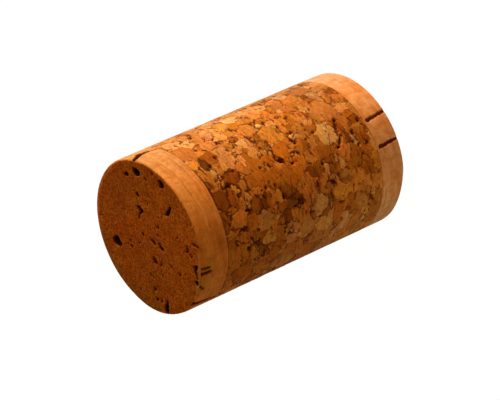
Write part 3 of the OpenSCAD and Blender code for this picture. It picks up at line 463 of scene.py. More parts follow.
# Lines of yearly growth round a disc's side: half width, then bearing, distance from the
# joint and strength at each of its stops
TOP_LINES = [
    (0.10, ((-175, 2.9, 0.3), (-150, 2.9, 0.35), (-125, 2.85, 0.3), (-108, 2.9, 0.35),
            (-98, 2.95, 0.6), (-91, 2.6, 0.7), (-85, 2.65, 0.7), (-80, 2.8, 0.8), (-72, 2.85, 1),
            (-65, 2.85, 1), (-58, 2.85, 0.8), (-50, 2.9, 0.7), (-45, 3.1, 0.7), (-37, 3.35, 0.6),
            (-28, 3.35, 0.4), (0, 3.0, 0.5), (40, 2.6, 0.8), (90, 2.9, 0.7), (140, 3.1, 0.5))),
    (0.09, ((-170, 1.5, 0.3), (-130, 1.4, 0.2), (-118, 1.55, 0.5), (-113, 1.05, 0.6),
            (-108, 1.15, 0.6), (-104, 1.65, 0.6), (-100, 2.15, 0.5), (-92, 1.9, 0.2),
            (-75, 1.2, 0.2), (-60, 1.1, 0.4), (-42, 1.25, 0.4), (-20, 1.3, 0.2), (60, 1.5, 0.5),
            (120, 1.2, 0.4))),
    (0.07, ((-150, 0.5, 0.0), (-75, 0.45, 0.1), (-60, 0.5, 0.35), (-40, 0.5, 0.35),
            (-30, 0.65, 0.3), (-10, 0.6, 0.1), (60, 0.7, 0.3), (130, 0.6, 0.2))),
    (0.06, ((-170, 4.0, 0.1), (-110, 3.9, 0.15), (-85, 3.8, 0.25), (-60, 3.85, 0.2), (0, 4.0, 0.1),
            (60, 3.9, 0.3), (120, 4.0, 0.2))),
]
BOTTOM_LINES = [
    (0.12, ((-170, 2.6, 0.1), (-100, 2.7, 0.08), (-60, 2.6, 0.1), (0, 2.5, 0.2), (80, 2.7, 0.4),
            (140, 2.6, 0.3))),
    (0.25, ((-93.5, 2.65, 0.0), (-91.5, 2.65, 0.2), (-89.5, 2.65, 0.0), (90, 2.65, 0.0))),
    (0.25, ((-55.5, 3.0, 0.0), (-54, 3.0, 0.25), (-52.5, 3.0, 0.0), (90, 3.0, 0.0))),
]

# How dark the joint of each disc is: bearing and strength
TOP_JOINT = ((-180, 0.3), (-140, 0.35), (-112, 0.5), (-100, 0.9), (-58, 0.9), (-52, 0.15),
             (-15, 0.15), (20, 0.5), (90, 0.8), (150, 0.5))
BOTTOM_JOINT = ((-180, 0.2), (-135, 0.5), (-130, 0.2), (-99, 0.6), (-94, 0.3), (-82, 0.5),
                (-60, 0.2), (-53, 0.5), (-45, 0.2), (0, 0.3), (90, 0.6), (150, 0.3))

# How far each disc's rim is worn down beyond its rounding: bearing and depth
TOP_WEAR = ((-180, 0.08), (-165, 0.03), (-150, 0.0), (-40, 0.0), (0, 0.02), (15, 0.1), (30, 0.14),
            (125, 0.15), (140, 0.05), (155, 0.04), (170, 0.08))
BOTTOM_WEAR = ((-180, 0.05), (-165, 0.08), (-152, 0.16), (-140, 0.17), (-128, 0.1), (-120, 0.0),
               (160, 0.0))
# Painted sheen round the stopper, strongest on the lit side and at the edges: bearing and strength
TOP_PAINTED_SHEEN = ((-180, 0.25), (-160, 0.3), (-140, 0.1), (-75, 0.0), (-60, 0.3), (-45, 0.7), (-30, 1.0),
              (40, 0.7), (90, 0.2), (150, 0.1))
BOTTOM_PAINTED_SHEEN = ((-180, 0.8), (-155, 0.7), (-140, 0.2), (-125, 0.0), (-50, 0.0), (-38, 0.3),
                 (-22, 0.6), (-5, 1.0), (40, 0.7), (90, 0.2))
GRANULE_PAINTED_SHEEN = ((-180, 0.6), (-150, 0.2), (-130, 0.0), (-50, 0.0), (-35, 0.15), (-15, 1.0), (20, 1.0))
# Patches of painted light and painted shade on the body, where the granules are made lighter
# or darker on the whole: bearing, distance from the axis, height, size and strength
PAINTED_LIGHT_PATCHES = [(-38, 11.75, 24.0, 4.0, 0.2), (-40, 11.75, 31.0, 3.5, 0.04),
                 (-118, 11.75, 8.5, 4.0, 0.12), (-82, 11.75, 22.0, 5.0, 0.14),
                 (-16, 11.75, 30.0, 4.0, 0.1)]
PAINTED_SHADE_PATCHES = [(-156, 11.75, 22.5, 4.0, 0.28), (-36, 11.75, 8.0, 4.5, 0.32),
                (-18, 11.75, 8.0, 3.5, 0.32), (-30, 11.75, 15.0, 3.0, 0.1),
                (-152, 11.75, 8.0, 3.5, 0.2), (-160, 11.75, 29.0, 3.0, 0.12),
                (-57, 11.75, 22.0, 3.0, 0.2)]
# How far from the rim the look of the end face stops: bearing and distance, less than zero
# where it stops short of the rim
TOP_REACH = ((-180, 0.1), (-160, 0.0), (-155, -0.5), (-146, -0.8), (-120, -0.9), (-112, -0.6),
             (-100, -0.15), (-60, -0.05), (-20, -0.1), (5, 0.1), (20, 0.35), (160, 0.35))
BOTTOM_REACH = ((0, -0.7), (180, -0.7))

# Stains of the upper disc, which also paint shade along the shaded side of its rim, and
# brighter patches of painted light: bearing, distance from the axis, height, size and strength
TOP_STAINS_AND_SHADE = [
    (-130, 11.7, 38.2, 1.6, 1.1), (-143, 11.4, 38.7, 1.5, 1.1), (-138, 11.6, 38.4, 1.0, 0.7),
    (-136, 10.9, 39.0, 1.0, 0.7), (-125, 11.0, 39.0, 0.9, 0.5), (-117, 11.1, 39.0, 0.8, 0.4),
    (-149, 11.0, 39.0, 0.9, 0.5), (-130, 11.75, 37.9, 0.8, 1.2), (-144, 11.75, 38.5, 0.7, 1.0),
    (76, 11.0, 39.0, 1.4, 0.5), (91, 10.9, 39.0, 1.6, 0.7),
    (106, 10.8, 39.0, 1.9, 0.9), (121, 10.7, 39.0, 2.1, 1.0), (136, 10.6, 39.0, 2.2, 1.0),
    (151, 10.6, 39.0, 2.1, 0.9), (166, 10.8, 39.0, 1.7, 0.8), (178, 11.2, 39.0, 1.2, 0.6),
    (155, 7.5, 39.0, 2.8, 0.5), (150, 9.3, 39.0, 2.6, 0.6), (-158, 8.5, 39.0, 3.0, 0.35),
    (175, 6.5, 39.0, 3.2, 0.3), (-35, 10.0, 39.0, 2.6, 0.3), (20, 10.3, 39.0, 2.4, 0.3),
    (-157, 11.75, 36.0, 0.9, 0.3), (-145, 11.75, 35.2, 0.8, 0.3),
    (-75, 11.7, 38.8, 1.6, 0.4), (-22, 11.7, 38.8, 1.5, 0.5),
    (-113, 11.75, 35.0, 0.9, 0.5), (-55, 11.75, 34.9, 0.8, 0.5),
]
# Painted light: brighter patches on the face and the side of the upper disc
TOP_PAINTED_LIGHT = [
    (-157, 11.7, 38.4, 1.0, 0.8), (-125, 8.0, 39.0, 3.2, 0.7), (-95, 8.5, 39.0, 3.2, 1.0),
    (-70, 7.5, 39.0, 3.0, 0.8),
    (-100, 4.5, 39.0, 3.0, 0.6), (-30, 5.0, 39.0, 3.5, 0.5), (15, 3.5, 39.0, 3.0, 0.4),
    (60, 10.0, 39.0, 1.8, 0.4), (-143, 11.75, 36.8, 1.2, 0.8), (-128, 11.75, 36.4, 1.1, 0.6),
    (-115, 11.75, 37.2, 1.2, 0.6), (-97, 11.75, 36.8, 1.1, 0.5),
]


# ---------------------------------------------------------------------------
# Numbers and noise
# ---------------------------------------------------------------------------

def ramp(value, low, high):
    """0 below low, 1 above high, and a smooth rise between."""
    share = np.clip((value - low) / (high - low), 0.0, 1.0)
    return share * share * (3.0 - 2.0 * share)


def cloud(points, size, seed):
    """Smooth noise of about -1 to 1 at points, an array whose last axis is x, y and z."""
    flat = points.reshape(-1, 3) / size + np.array([17.3, 5.1, 9.7]) * seed
    return np.array([noise.noise(p) for p in flat.tolist()]).reshape(points.shape[:-1])


def pair_share(first, second):
    """A number from 0 to 1 for each pair of whole numbers, the same in either order."""
    low, high = np.minimum(first, second), np.maximum(first, second)
    mixed = (low * 73856093) ^ (high * 19349663)
    return (mixed % 9973) / 9973.0


def blob(x, y, length, width, turn, index):
    """How far out of an uneven oval points are: 1 on its edge and less inside."""
    angle = math.radians(turn)
    along = (x * math.cos(angle) + y * math.sin(angle)) / (length / 2)
    across = (y * math.cos(angle) - x * math.sin(angle)) / (width / 2)
    bearing = np.arctan2(across, along)
    edge = 1.0 + 0.22 * (np.sin(2 * bearing + math.radians(77 * index))
                         * np.cos(bearing + math.radians(31 * index)))
    return np.hypot(along, across) / edge


def scattered_hollow(index):
    """One scattered hollow, as a row like those of the charted ones."""
    return tuple(low + (high - low) * (index * step % 1.0)
                 for (low, high), step in zip(SCATTER_LIMITS, SCATTER_STEPS))


def joint_wave(bearing, joint):
    """How far a joint line wanders from its plane, in millimetres."""
    phase = 1.7 * joint
    wave = 0.05 * np.sin(3 * bearing + phase) + 0.035 * np.sin(7 * bearing + 2.2 * phase)
    return wave + 0.02 * np.sin(13 * bearing + 0.6 * phase)


# ---------------------------------------------------------------------------
# Meshes
# ---------------------------------------------------------------------------

def build_mesh(name, vertices, faces, uv_bake, uv_grain=None):
    """Makes an object from vertices in millimetres, with one bake coordinate per corner."""
    mesh = bpy.data.meshes.new(name)
    mesh.from_pydata((vertices * MM).tolist(), [], faces)
    layer = mesh.uv_layers.new(name="OFBake")
    layer.data.foreach_set("uv", uv_bake.astype(np.float32).ravel())
    if uv_grain is not None:
        layer = mesh.uv_layers.new(name="Grain")
        layer.data.foreach_set("uv", uv_grain.astype(np.float32).ravel())
    mesh.uv_layers["OFBake"].active_render = True
    mesh.polygons.foreach_set("use_smooth", np.ones(len(mesh.polygons), bool))
    mesh.update()
    piece = bpy.data.objects.new(name, mesh)
    bpy.context.scene.collection.objects.link(piece)
    return piece


def add_values(piece, name, domain, values):
    """Stores one number for each vertex or face of a piece."""
    attribute = piece.data.attributes.new(name, "FLOAT", domain)
    attribute.data.foreach_set("value", np.asarray(values, np.float32).ravel())


def add_colours(piece, name, domain, values):
    """Stores one colour for each vertex or face of a piece."""
    attribute = piece.data.attributes.new(name, "FLOAT_COLOR", domain)
    rgba = np.ones((len(values), 4), np.float32)
    rgba[:, :3] = values
    attribute.data.foreach_set("color", rgba.ravel())


def settle(piece, node_name, material):
    """Gives a piece its material and puts it in the frame in place of its solid."""
    piece.data.materials.append(material)
    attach(piece, "root")
    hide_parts(node_name)


# ---------------------------------------------------------------------------
# Granule body
# ---------------------------------------------------------------------------

def charted_granules():
    """The listed granules as rows of numbers, with their colours by name."""
    rows = []
    colours = []
    for bearing, height, across, along, turn, colour, gap in CHARTED_GRANULES:
        place = math.radians(bearing) * RADIUS % GIRTH
        rows.append((place, height - LOWER_JOINT, across / 2, along / 2, math.radians(turn), gap))
        colours.append(colour)
    return rows, colours


def scatter_granules(random, height):
    """All granules of the body: the charted ones, and fillers thrown between them."""
    rows, colours = charted_granules()
    names = list(FILLER_COLOURS)
    weights = np.array([FILLER_COLOURS[name] for name in names], float)
    weights /= weights.sum()
    charted = len(rows)
    for throws, low, high, spacing in THROWS:
        for _ in range(throws):
            place, level = random.random() * GIRTH, random.random() * height
            size = random.uniform(low, high)
            slim = random.uniform(1.0, 2.4)
            across, along = size * math.sqrt(slim), size / math.sqrt(slim)
            turn = random.normal(0.0, 0.4)
            others = np.array(rows)
            gap_across = (place - others[:, 0] + GIRTH / 2) % GIRTH - GIRTH / 2
            gap_along = level - others[:, 1]
            reach = np.hypot(gap_across / (others[:, 2] + across * 0.8),
                             gap_along / (others[:, 3] + along * 0.8))
            if reach.min() < spacing:
                continue
            rows.append((place, level, across, along, turn, random.random() ** 1.5))
            colours.append(names[random.choice(len(names), p=weights)])
    return np.array(rows), colours, charted


def label_quads(granules, charted, random, columns, rows, height):
    """A number for each quad of the unrolled side: SHARDS times its granule's, plus its shard's."""
    cell_across, cell_along = GIRTH / columns, height / rows
    across = (np.arange(columns) + 0.5) * cell_across
    along = (np.arange(rows) + 0.5) * cell_along
    angle = across / RADIUS
    points = np.stack(np.broadcast_arrays(
        (RADIUS * np.cos(angle))[:, None], (RADIUS * np.sin(angle))[:, None], along[None, :]), -1)
    warp_across = 0.22 * cloud(points, 1.1, 1) + 0.16 * cloud(points, 0.4, 2)
    warp_along = 0.18 * cloud(points, 1.1, 3) + 0.16 * cloud(points, 0.4, 4)
    best = np.full((columns, rows), 1e9)
    labels = np.zeros((columns, rows), int)
    for index, (place, level, half_across, half_along, turn, _) in enumerate(granules):
        sides = random.integers(5, 9)
        bearings = (np.arange(sides) + random.uniform(-0.3, 0.3, sides)) * 2 * np.pi / sides
        bearings += random.uniform(0, 2 * np.pi)
        supports = random.uniform(0.85, 1.1, sides)
        reach = 2.4 * max(half_across, half_along) + 0.4
        i_range = np.arange(int((place - reach) / cell_across), int((place + reach) / cell_across) + 1)
        j_range = np.arange(max(0, int((level - reach) / cell_along)),
                            min(rows, int((level + reach) / cell_along) + 1))
        window = np.ix_(i_range % columns, j_range)
        x = ((i_range + 0.5) * cell_across - place)[:, None] + warp_across[window]
        y = ((j_range + 0.5) * cell_along - level)[None, :] + warp_along[window]
        along_x = (x * math.cos(turn) + y * math.sin(turn)) / half_across
        along_y = (y * math.cos(turn) - x * math.sin(turn)) / half_along
        facets = np.max([(along_x * math.cos(b) + along_y * math.sin(b)) / s
                         for b, s in zip(bearings, supports)], axis=0)
        gauge = 0.85 * facets + 0.15 * np.hypot(along_x, along_y)
        if index < charted:
            gauge = np.where(gauge < 1.0, gauge - 1.0, gauge)
        # Two straight cuts split many granules into up to four shards
        cuts = random.normal(np.pi / 2, 0.5, 2)
        offsets = random.uniform(-0.6, 0.6, 2) + np.array([0.0, 9.0]) * (random.random(2) < 0.5)
        shard = (along_x * math.cos(cuts[0]) + along_y * math.sin(cuts[0]) > offsets[0]) * 1
        shard += (along_x * math.cos(cuts[1]) + along_y * math.sin(cuts[1]) > offsets[1]) * 2
        closer = gauge < best[window]
        best[window] = np.where(closer, gauge, best[window])
        labels[window] = np.where(closer, index * SHARDS + shard, labels[window])
    return labels


def smooth_outlines(labels, cell_across, cell_along):
    """Moves the grid's vertices so that the edges between granules run smoothly.

    Returns how far each vertex moves round and along, and how many edges meet there."""
    columns, rows = labels.shape
    padded = np.pad(labels, ((0, 0), (1, 1)), mode="edge")
    left = np.roll(padded, 1, axis=0)
    rise = np.zeros((columns, rows + 1), bool)
    rise[:, :rows] = left[:, 1:-1] != padded[:, 1:-1]
    run = padded[:, :-1] != padded[:, 1:]
    links = [
        (rise, 0, 1),
        (np.pad(rise[:, :-1], ((0, 0), (1, 0))), 0, -1),
        (run, 1, 0),
        (np.roll(run, 1, axis=0), -1, 0),
    ]
    count = sum(link.astype(int) for link, _, _ in links)
    on_edge = count > 0
    shift = np.zeros((columns, rows + 1, 2))
    cell = np.array([cell_across, cell_along])
    for _ in range(OUTLINE_PASSES):
        total = np.zeros_like(shift)
        number = np.zeros((columns, rows + 1, 1))
        for link, step_across, step_along in links:
            moved = np.roll(shift, -step_across, axis=0)
            moved = np.roll(moved, -step_along, axis=1)
            use = (link | ~on_edge)[..., None]
            total += np.where(use, moved + np.array([step_across, step_along]) * cell, 0.0)
            number += use
        target = total / np.maximum(number, 1)
        shift += 0.5 * (target - shift)
        shift = np.clip(shift, -0.45 * cell, 0.45 * cell)
        shift[:, (0, -1), 1] = 0.0
    return shift[..., 0], shift[..., 1], count


def edge_strength(labels, gaps):
    """How open the crack at each vertex is: 0 inside a granule, up to 1 on an edge."""
    padded = np.pad(labels, ((0, 0), (1, 1)), mode="edge")
    left = np.roll(padded, 1, axis=0)
    corners = (left[:, :-1], padded[:, :-1], left[:, 1:], padded[:, 1:])
    strength = np.zeros(corners[0].shape)
    for first, second in ((0, 1), (0, 2), (1, 3), (2, 3)):
        a, b = corners[first], corners[second]
        openness = 0.5 * (gaps[a // SHARDS] + gaps[b // SHARDS]) + 1.2 * (pair_share(a, b) - 0.5)
        openness = np.where(a // SHARDS == b // SHARDS, 0.6 * openness, openness)
        strength = np.maximum(strength, np.where(a != b, np.clip(openness, 0.0, 1.0), 0.0))
    return strength


def spread(values, passes):
    """Blurs a field over its neighbours, round the body and along it."""
    for _ in range(passes):
        up = np.concatenate([values[:, 1:], values[:, -1:]], axis=1)
        down = np.concatenate([values[:, :1], values[:, :-1]], axis=1)
        values = (values * 2 + np.roll(values, 1, 0) + np.roll(values, -1, 0) + up + down) / 6
    return values


class CORK_OT_granule_body(bpy.types.Operator):
    """Build the pressed granule body"""
    bl_idname = "cork.granule_body"
    bl_label = "Granule body"

    def execute(self, context):
        settings = context.scene.cork_granules
        columns, rows = settings.columns, settings.rows
        height = UPPER_JOINT - LOWER_JOINT
        cell_across, cell_along = GIRTH / columns, height / rows
        random = np.random.default_rng(settings.seed)

        granules, colours, charted = scatter_granules(random, height)
        labels = label_quads(granules, charted, random, columns, rows, height)
        shift_across, shift_along, edges = smooth_outlines(labels, cell_across, cell_along)
        place = np.arange(columns)[:, None] * cell_across + shift_across
        level = np.arange(rows + 1)[None, :] * cell_along + shift_along
        bearing = place / RADIUS
        points = np.stack([RADIUS * np.cos(bearing), RADIUS * np.sin(bearing), level], -1)

        # Each granule lies a little below the ground surface
        owner = np.pad(labels // SHARDS, ((0, 0), (0, 1)), mode="edge")
        sunk = random.random(len(granules)) ** 2 * settings.relief / MM
        depth = sunk[owner] + 0.012 * (1.0 + cloud(points, 0.5, 5))

        strength = edge_strength(labels, granules[:, 5])
        gape = strength * (0.9 + 1.5 * cloud(points, 0.8, 6))
        crack = np.clip(gape, 0.0, 1.0)
        wobble = 0.16 * cloud(points, 0.35, 7) + 0.12 * cloud(points, 0.17, 8)
        for index, (where, altitude, across, along, turn, dark) in enumerate(CHARTED_CRACKS):
            inside = ramp(self.gauge(place, level, where, altitude, across + 0.1, along + 0.1, turn,
                                     index) + wobble, 1.5, 0.6)
            crack = np.maximum(crack, inside * dark)
        depth += crack * settings.crack_depth / MM

        hollow = np.zeros_like(level)
        hollows = CHARTED_HOLLOWS + [scattered_hollow(k) for k in range(SCATTERED_HOLLOWS)]
        for index, (where, altitude, across, along, turn, share) in enumerate(hollows):
            inside = ramp(self.gauge(place, level, where, altitude, across, along, turn, index)
                          + 2.1 * wobble, 1.3, 0.75)
            hollow = np.maximum(hollow, inside * share)
        depth += hollow * settings.hollow_depth / MM

        # The ends follow the joints' wavy lines, with a slight groove along them
        share = level / height
        lift = joint_wave(bearing, 1) * (1 - share) + joint_wave(bearing, 2) * share
        depth[:, (0, -1)] += BODY_GROOVE
        radius = RADIUS - depth
        body = np.stack([radius * np.cos(bearing), radius * np.sin(bearing),
                         LOWER_JOINT + level + lift], -1)

        turns = granules[:, 4] + random.normal(0.0, 0.35, len(granules))
        piece = self.wrap(body, place, level, granules, turns, labels // SHARDS)
        self.colour(piece, granules, colours, labels, random, columns)
        for name, field in (("crack", crack), ("shade", spread(crack + 1.5 * hollow, SHADE_PASSES)),
                            ("hollow", hollow), ("outline", (edges > 0) * (0.5 + 0.5 * strength))):
            add_values(piece, name, "POINT", np.append(field.T.ravel(), [0.0, 0.0]))
        settle(piece, "granule_body", granule_material(settings))
        return {"FINISHED"}

    def gauge(self, place, level, bearing, height, across, along, turn, index):
        """How far out of a charted oval each vertex is."""
        x = (place - math.radians(bearing) * RADIUS + GIRTH / 2) % GIRTH - GIRTH / 2
        return blob(x, level + LOWER_JOINT - height, across, along, turn, index)

    def wrap(self, body, place, level, granules, turns, owner):
        """Makes the closed mesh: the wrapped grid and a fan at each end."""
        columns, rows = owner.shape
        height = UPPER_JOINT - LOWER_JOINT
        vertices = np.concatenate([
            body.transpose(1, 0, 2).reshape(-1, 3),
            [[0.0, 0.0, LOWER_JOINT], [0.0, 0.0, UPPER_JOINT]],
        ])
        i, j = np.meshgrid(np.arange(columns), np.arange(rows))
        following = (i + 1) % columns
        quads = np.stack([j * columns + i, j * columns + following,
                          (j + 1) * columns + following, (j + 1) * columns + i], -1)
        low_centre, high_centre = len(vertices) - 2, len(vertices) - 1
        ring = np.arange(columns)
        ahead = (ring + 1) % columns
        low_fan = np.stack([np.full(columns, low_centre), ahead, ring], -1)
        high_fan = np.stack([np.full(columns, high_centre), rows * columns + ring,
                             rows * columns + ahead], -1)
        faces = quads.reshape(-1, 4).tolist() + low_fan.tolist() + high_fan.tolist()

        # Corners of the quads on the unrolled side, in millimetres
        seam = np.concatenate([place, place[:1] + GIRTH])
        tall = np.concatenate([level, level[:1]])
        flat = np.stack([
            np.stack([seam[i, j], tall[i, j]], -1),
            np.stack([seam[i + 1, j], tall[i + 1, j]], -1),
            np.stack([seam[i + 1, j + 1], tall[i + 1, j + 1]], -1),
            np.stack([seam[i, j + 1], tall[i, j + 1]], -1),
        ], axis=2).reshape(-1, 4, 2)

        # The bake page holds the side as two strips above each other, and the ends beside
        margin = 0.25
        half = GIRTH / 2
        page = 2 * height + 4 * margin
        second = (i.ravel() >= columns // 2)[:, None]
        page_side = flat.copy()
        page_side[..., 0] = flat[..., 0] - np.where(second, half, 0.0) + 2 * margin
        page_side[..., 1] = flat[..., 1] + np.where(second, height + 2 * margin, 0.0) + margin
        end_size = 0.92
        fans = []
        for fan, rise in ((low_fan, 0.25), (high_fan, 0.75)):
            corner = vertices[fan][..., :2] * end_size
            fans.append(corner + [half + 4 * margin + RADIUS * end_size, rise * page])
        bake = np.concatenate([page_side.reshape(-1, 2)] + [f.reshape(-1, 2) for f in fans]) / page
        # Grain coordinates: millimetres along and across each granule's own grain
        number = owner.T.ravel()
        offset = flat - granules[number, None, :2]
        offset[..., 0] = (offset[..., 0] + half) % GIRTH - half
        cosine, sine = np.cos(turns[number])[:, None], np.sin(turns[number])[:, None]
        grain = np.stack([offset[..., 0] * cosine + offset[..., 1] * sine + number[:, None] * 3.7,
                          offset[..., 1] * cosine - offset[..., 0] * sine + number[:, None] * 1.9],
                         axis=-1)
        ends = np.concatenate([vertices[f][..., :2].reshape(-1, 2) for f in (low_fan, high_fan)])
        grain = np.concatenate([grain.reshape(-1, 2), ends])
        return build_mesh("granule_body_cork", vertices, faces, bake, grain)

    def colour(self, piece, granules, colours, labels, random, columns):
        """Gives each granule its own colour, with painted sheen and painted light and shade, and each
        of its shards a slightly different one.
        """
        count = len(granules)
        tones = np.array([GRANULE_COLOURS[name] for name in colours])
        charted = np.arange(count) < len(CHARTED_GRANULES)
        tones = np.where(charted[:, None], tones, 0.3 * tones.mean(axis=0) + 0.7 * tones)
        loose = np.where(charted, 0.02, 0.07)
        tones *= 1.02 * random.normal(1.0, loose[:, None], (count, 1)).clip(0.8, 1.2)
        where = granules[:, 0] / RADIUS
        # Painted sheen: granules on the lit side and at the edges are painted paler and bluer
        tones *= 1.0 + by_bearing(where, GRANULE_PAINTED_SHEEN)[:, None] * np.array(PAINTED_SHEEN_TINT)
        points = np.stack([RADIUS * np.cos(where), RADIUS * np.sin(where),
                           granules[:, 1] + LOWER_JOINT], -1)
        # Painted light and painted shade: patches where granules are lighter or darker as the light
        # falls
        tones *= 1.0 + (spots(points, PAINTED_LIGHT_PATCHES) - spots(points, PAINTED_SHADE_PATCHES))[:, None]
        shards = np.repeat(tones, SHARDS, axis=0)
        shards *= random.normal(1.0, 0.06, (count * SHARDS, 1)).clip(0.8, 1.15)
        shards *= random.normal(1.0, (0.02, 0.035, 0.09), (count * SHARDS, 3)).clip(0.75, 1.25)
        numbers = labels.T.ravel()
        ends = 2 * columns
        add_colours(piece, "granule_colour", "FACE",
                    np.concatenate([shards[numbers], np.full((ends, 3), tones.mean(axis=0))]))
        add_values(piece, "streakiness", "FACE",
                   np.concatenate([random.random(count)[numbers // SHARDS], np.zeros(ends)]))


# ---------------------------------------------------------------------------
# Natural cork discs
# ---------------------------------------------------------------------------

def face_grid(divisions, radius):
    """A square grid mapped to a disc so that all its quads keep the same area."""
    line = np.linspace(-1.0, 1.0, divisions + 1)
    x, y = np.meshgrid(line, line, indexing="ij")
    wide = np.abs(x) >= np.abs(y)
    first = np.where(wide, x, y)
    with np.errstate(divide="ignore", invalid="ignore"):
        angle = np.where(wide, np.pi / 4 * y / x, np.pi / 2 - np.pi / 4 * x / y)
    angle = np.nan_to_num(angle)
    return radius * first * np.cos(angle), radius * first * np.sin(angle)


def rim_order(divisions):
    """Numbers of the grid's outer vertices, anticlockwise from bearing -45 degrees."""
    n, wide = divisions, divisions + 1
    steps = np.arange(n)
    right = n * wide + steps
    top = (n - steps) * wide + n
    left = n - steps
    bottom = steps * wide
    return np.concatenate([right, top, left, bottom])


def disc_faces(divisions, ring_count, order):
    """Faces of a disc: its flat grid, the strips between its rings, and a fan at the joint.

    The order is -1 where the corners run the other way round, on a disc that faces down."""
    wide, columns = divisions + 1, 4 * divisions
    i, j = np.meshgrid(np.arange(divisions), np.arange(divisions), indexing="ij")
    corner = i * wide + j
    grid = np.stack([corner, corner + wide, corner + wide + 1, corner + 1], -1).reshape(-1, 4)
    rings = np.concatenate([
        rim_order(divisions)[None, :],
        wide * wide + np.arange(ring_count * columns).reshape(ring_count, columns),
    ])
    ahead = np.roll(rings, -1, axis=1)
    strips = np.stack([rings[:-1], rings[1:], ahead[1:], ahead[:-1]], -1).reshape(-1, 4)
    centre = wide * wide + ring_count * columns
    fan = np.stack([np.full(columns, centre), ahead[-1], rings[-1]], -1)
    return grid[:, ::order], strips[:, ::order], fan[:, ::order]


def disc_page(flat_points, parts, run, order):
    """Bake coordinates of a disc: its side as two strips, with the face and the joint above."""
    grid, _, fan = parts
    margin = 0.4
    columns = len(fan)
    half, width = GIRTH / 2, GIRTH / columns
    tall = run[-1] + margin
    ring, column = np.meshgrid(np.arange(len(run) - 1), np.arange(columns), indexing="ij")
    second = column >= columns // 2
    across = column * GIRTH / columns - np.where(second, half, 0.0) + margin
    base = np.where(second, tall, 0.0) + margin
    side = np.stack([np.stack([across + x, base + run[ring + y]], -1)
                     for x, y in ((0.0, 0), (0.0, 1), (width, 1), (width, 0))], axis=2)
    face_middle = np.array([RADIUS + margin, 2 * tall + RADIUS + margin])
    joint_middle = np.array([1.6 * RADIUS + RADIUS, 2 * tall + 0.6 * RADIUS + margin])
    return np.concatenate([
        (flat_points[grid] + face_middle).reshape(-1, 2),
        side.reshape(-1, 4, 2)[:, ::order].reshape(-1, 2),
        (flat_points[fan] * 0.5 + joint_middle).reshape(-1, 2),
    ]) / (half + 2 * margin)


def channel_field(around, distance, channels, points):
    """The depth of the channels in a disc's side, as a share of the full depth, and their dark tone,
    partly painted shade.
    """
    field = np.zeros_like(distance)
    tone = np.zeros_like(distance)
    waver = 0.1 * cloud(points, 0.5, 21) + 0.07 * cloud(points, 0.2, 22)
    for start_bearing, start, end_bearing, end, wide, narrow, depth, dark in channels:
        share = (distance - start) / (end - start)
        near = np.clip(share, 0.0, 1.0)
        where = np.radians(start_bearing + (end_bearing - start_bearing) * near)
        aside = ((around - where + np.pi) % (2 * np.pi) - np.pi) * RADIUS
        half = (wide + (narrow - wide) * near) / 2
        over = np.maximum(np.abs(share - 0.5) - 0.5, 0.0) * abs(end - start)
        gauge = np.hypot((aside + waver) / half, over / 0.25)
        field = np.maximum(field, depth * ramp(gauge, 1.3, 0.6))
        tone = np.maximum(tone, dark * ramp(gauge, 1.65, 0.4))
    return field, tone


def by_bearing(around, stops):
    """A value that changes smoothly from stop to stop round the stopper."""
    bearings, values = zip(*stops)
    return np.interp(np.degrees(around), bearings, values, period=360)


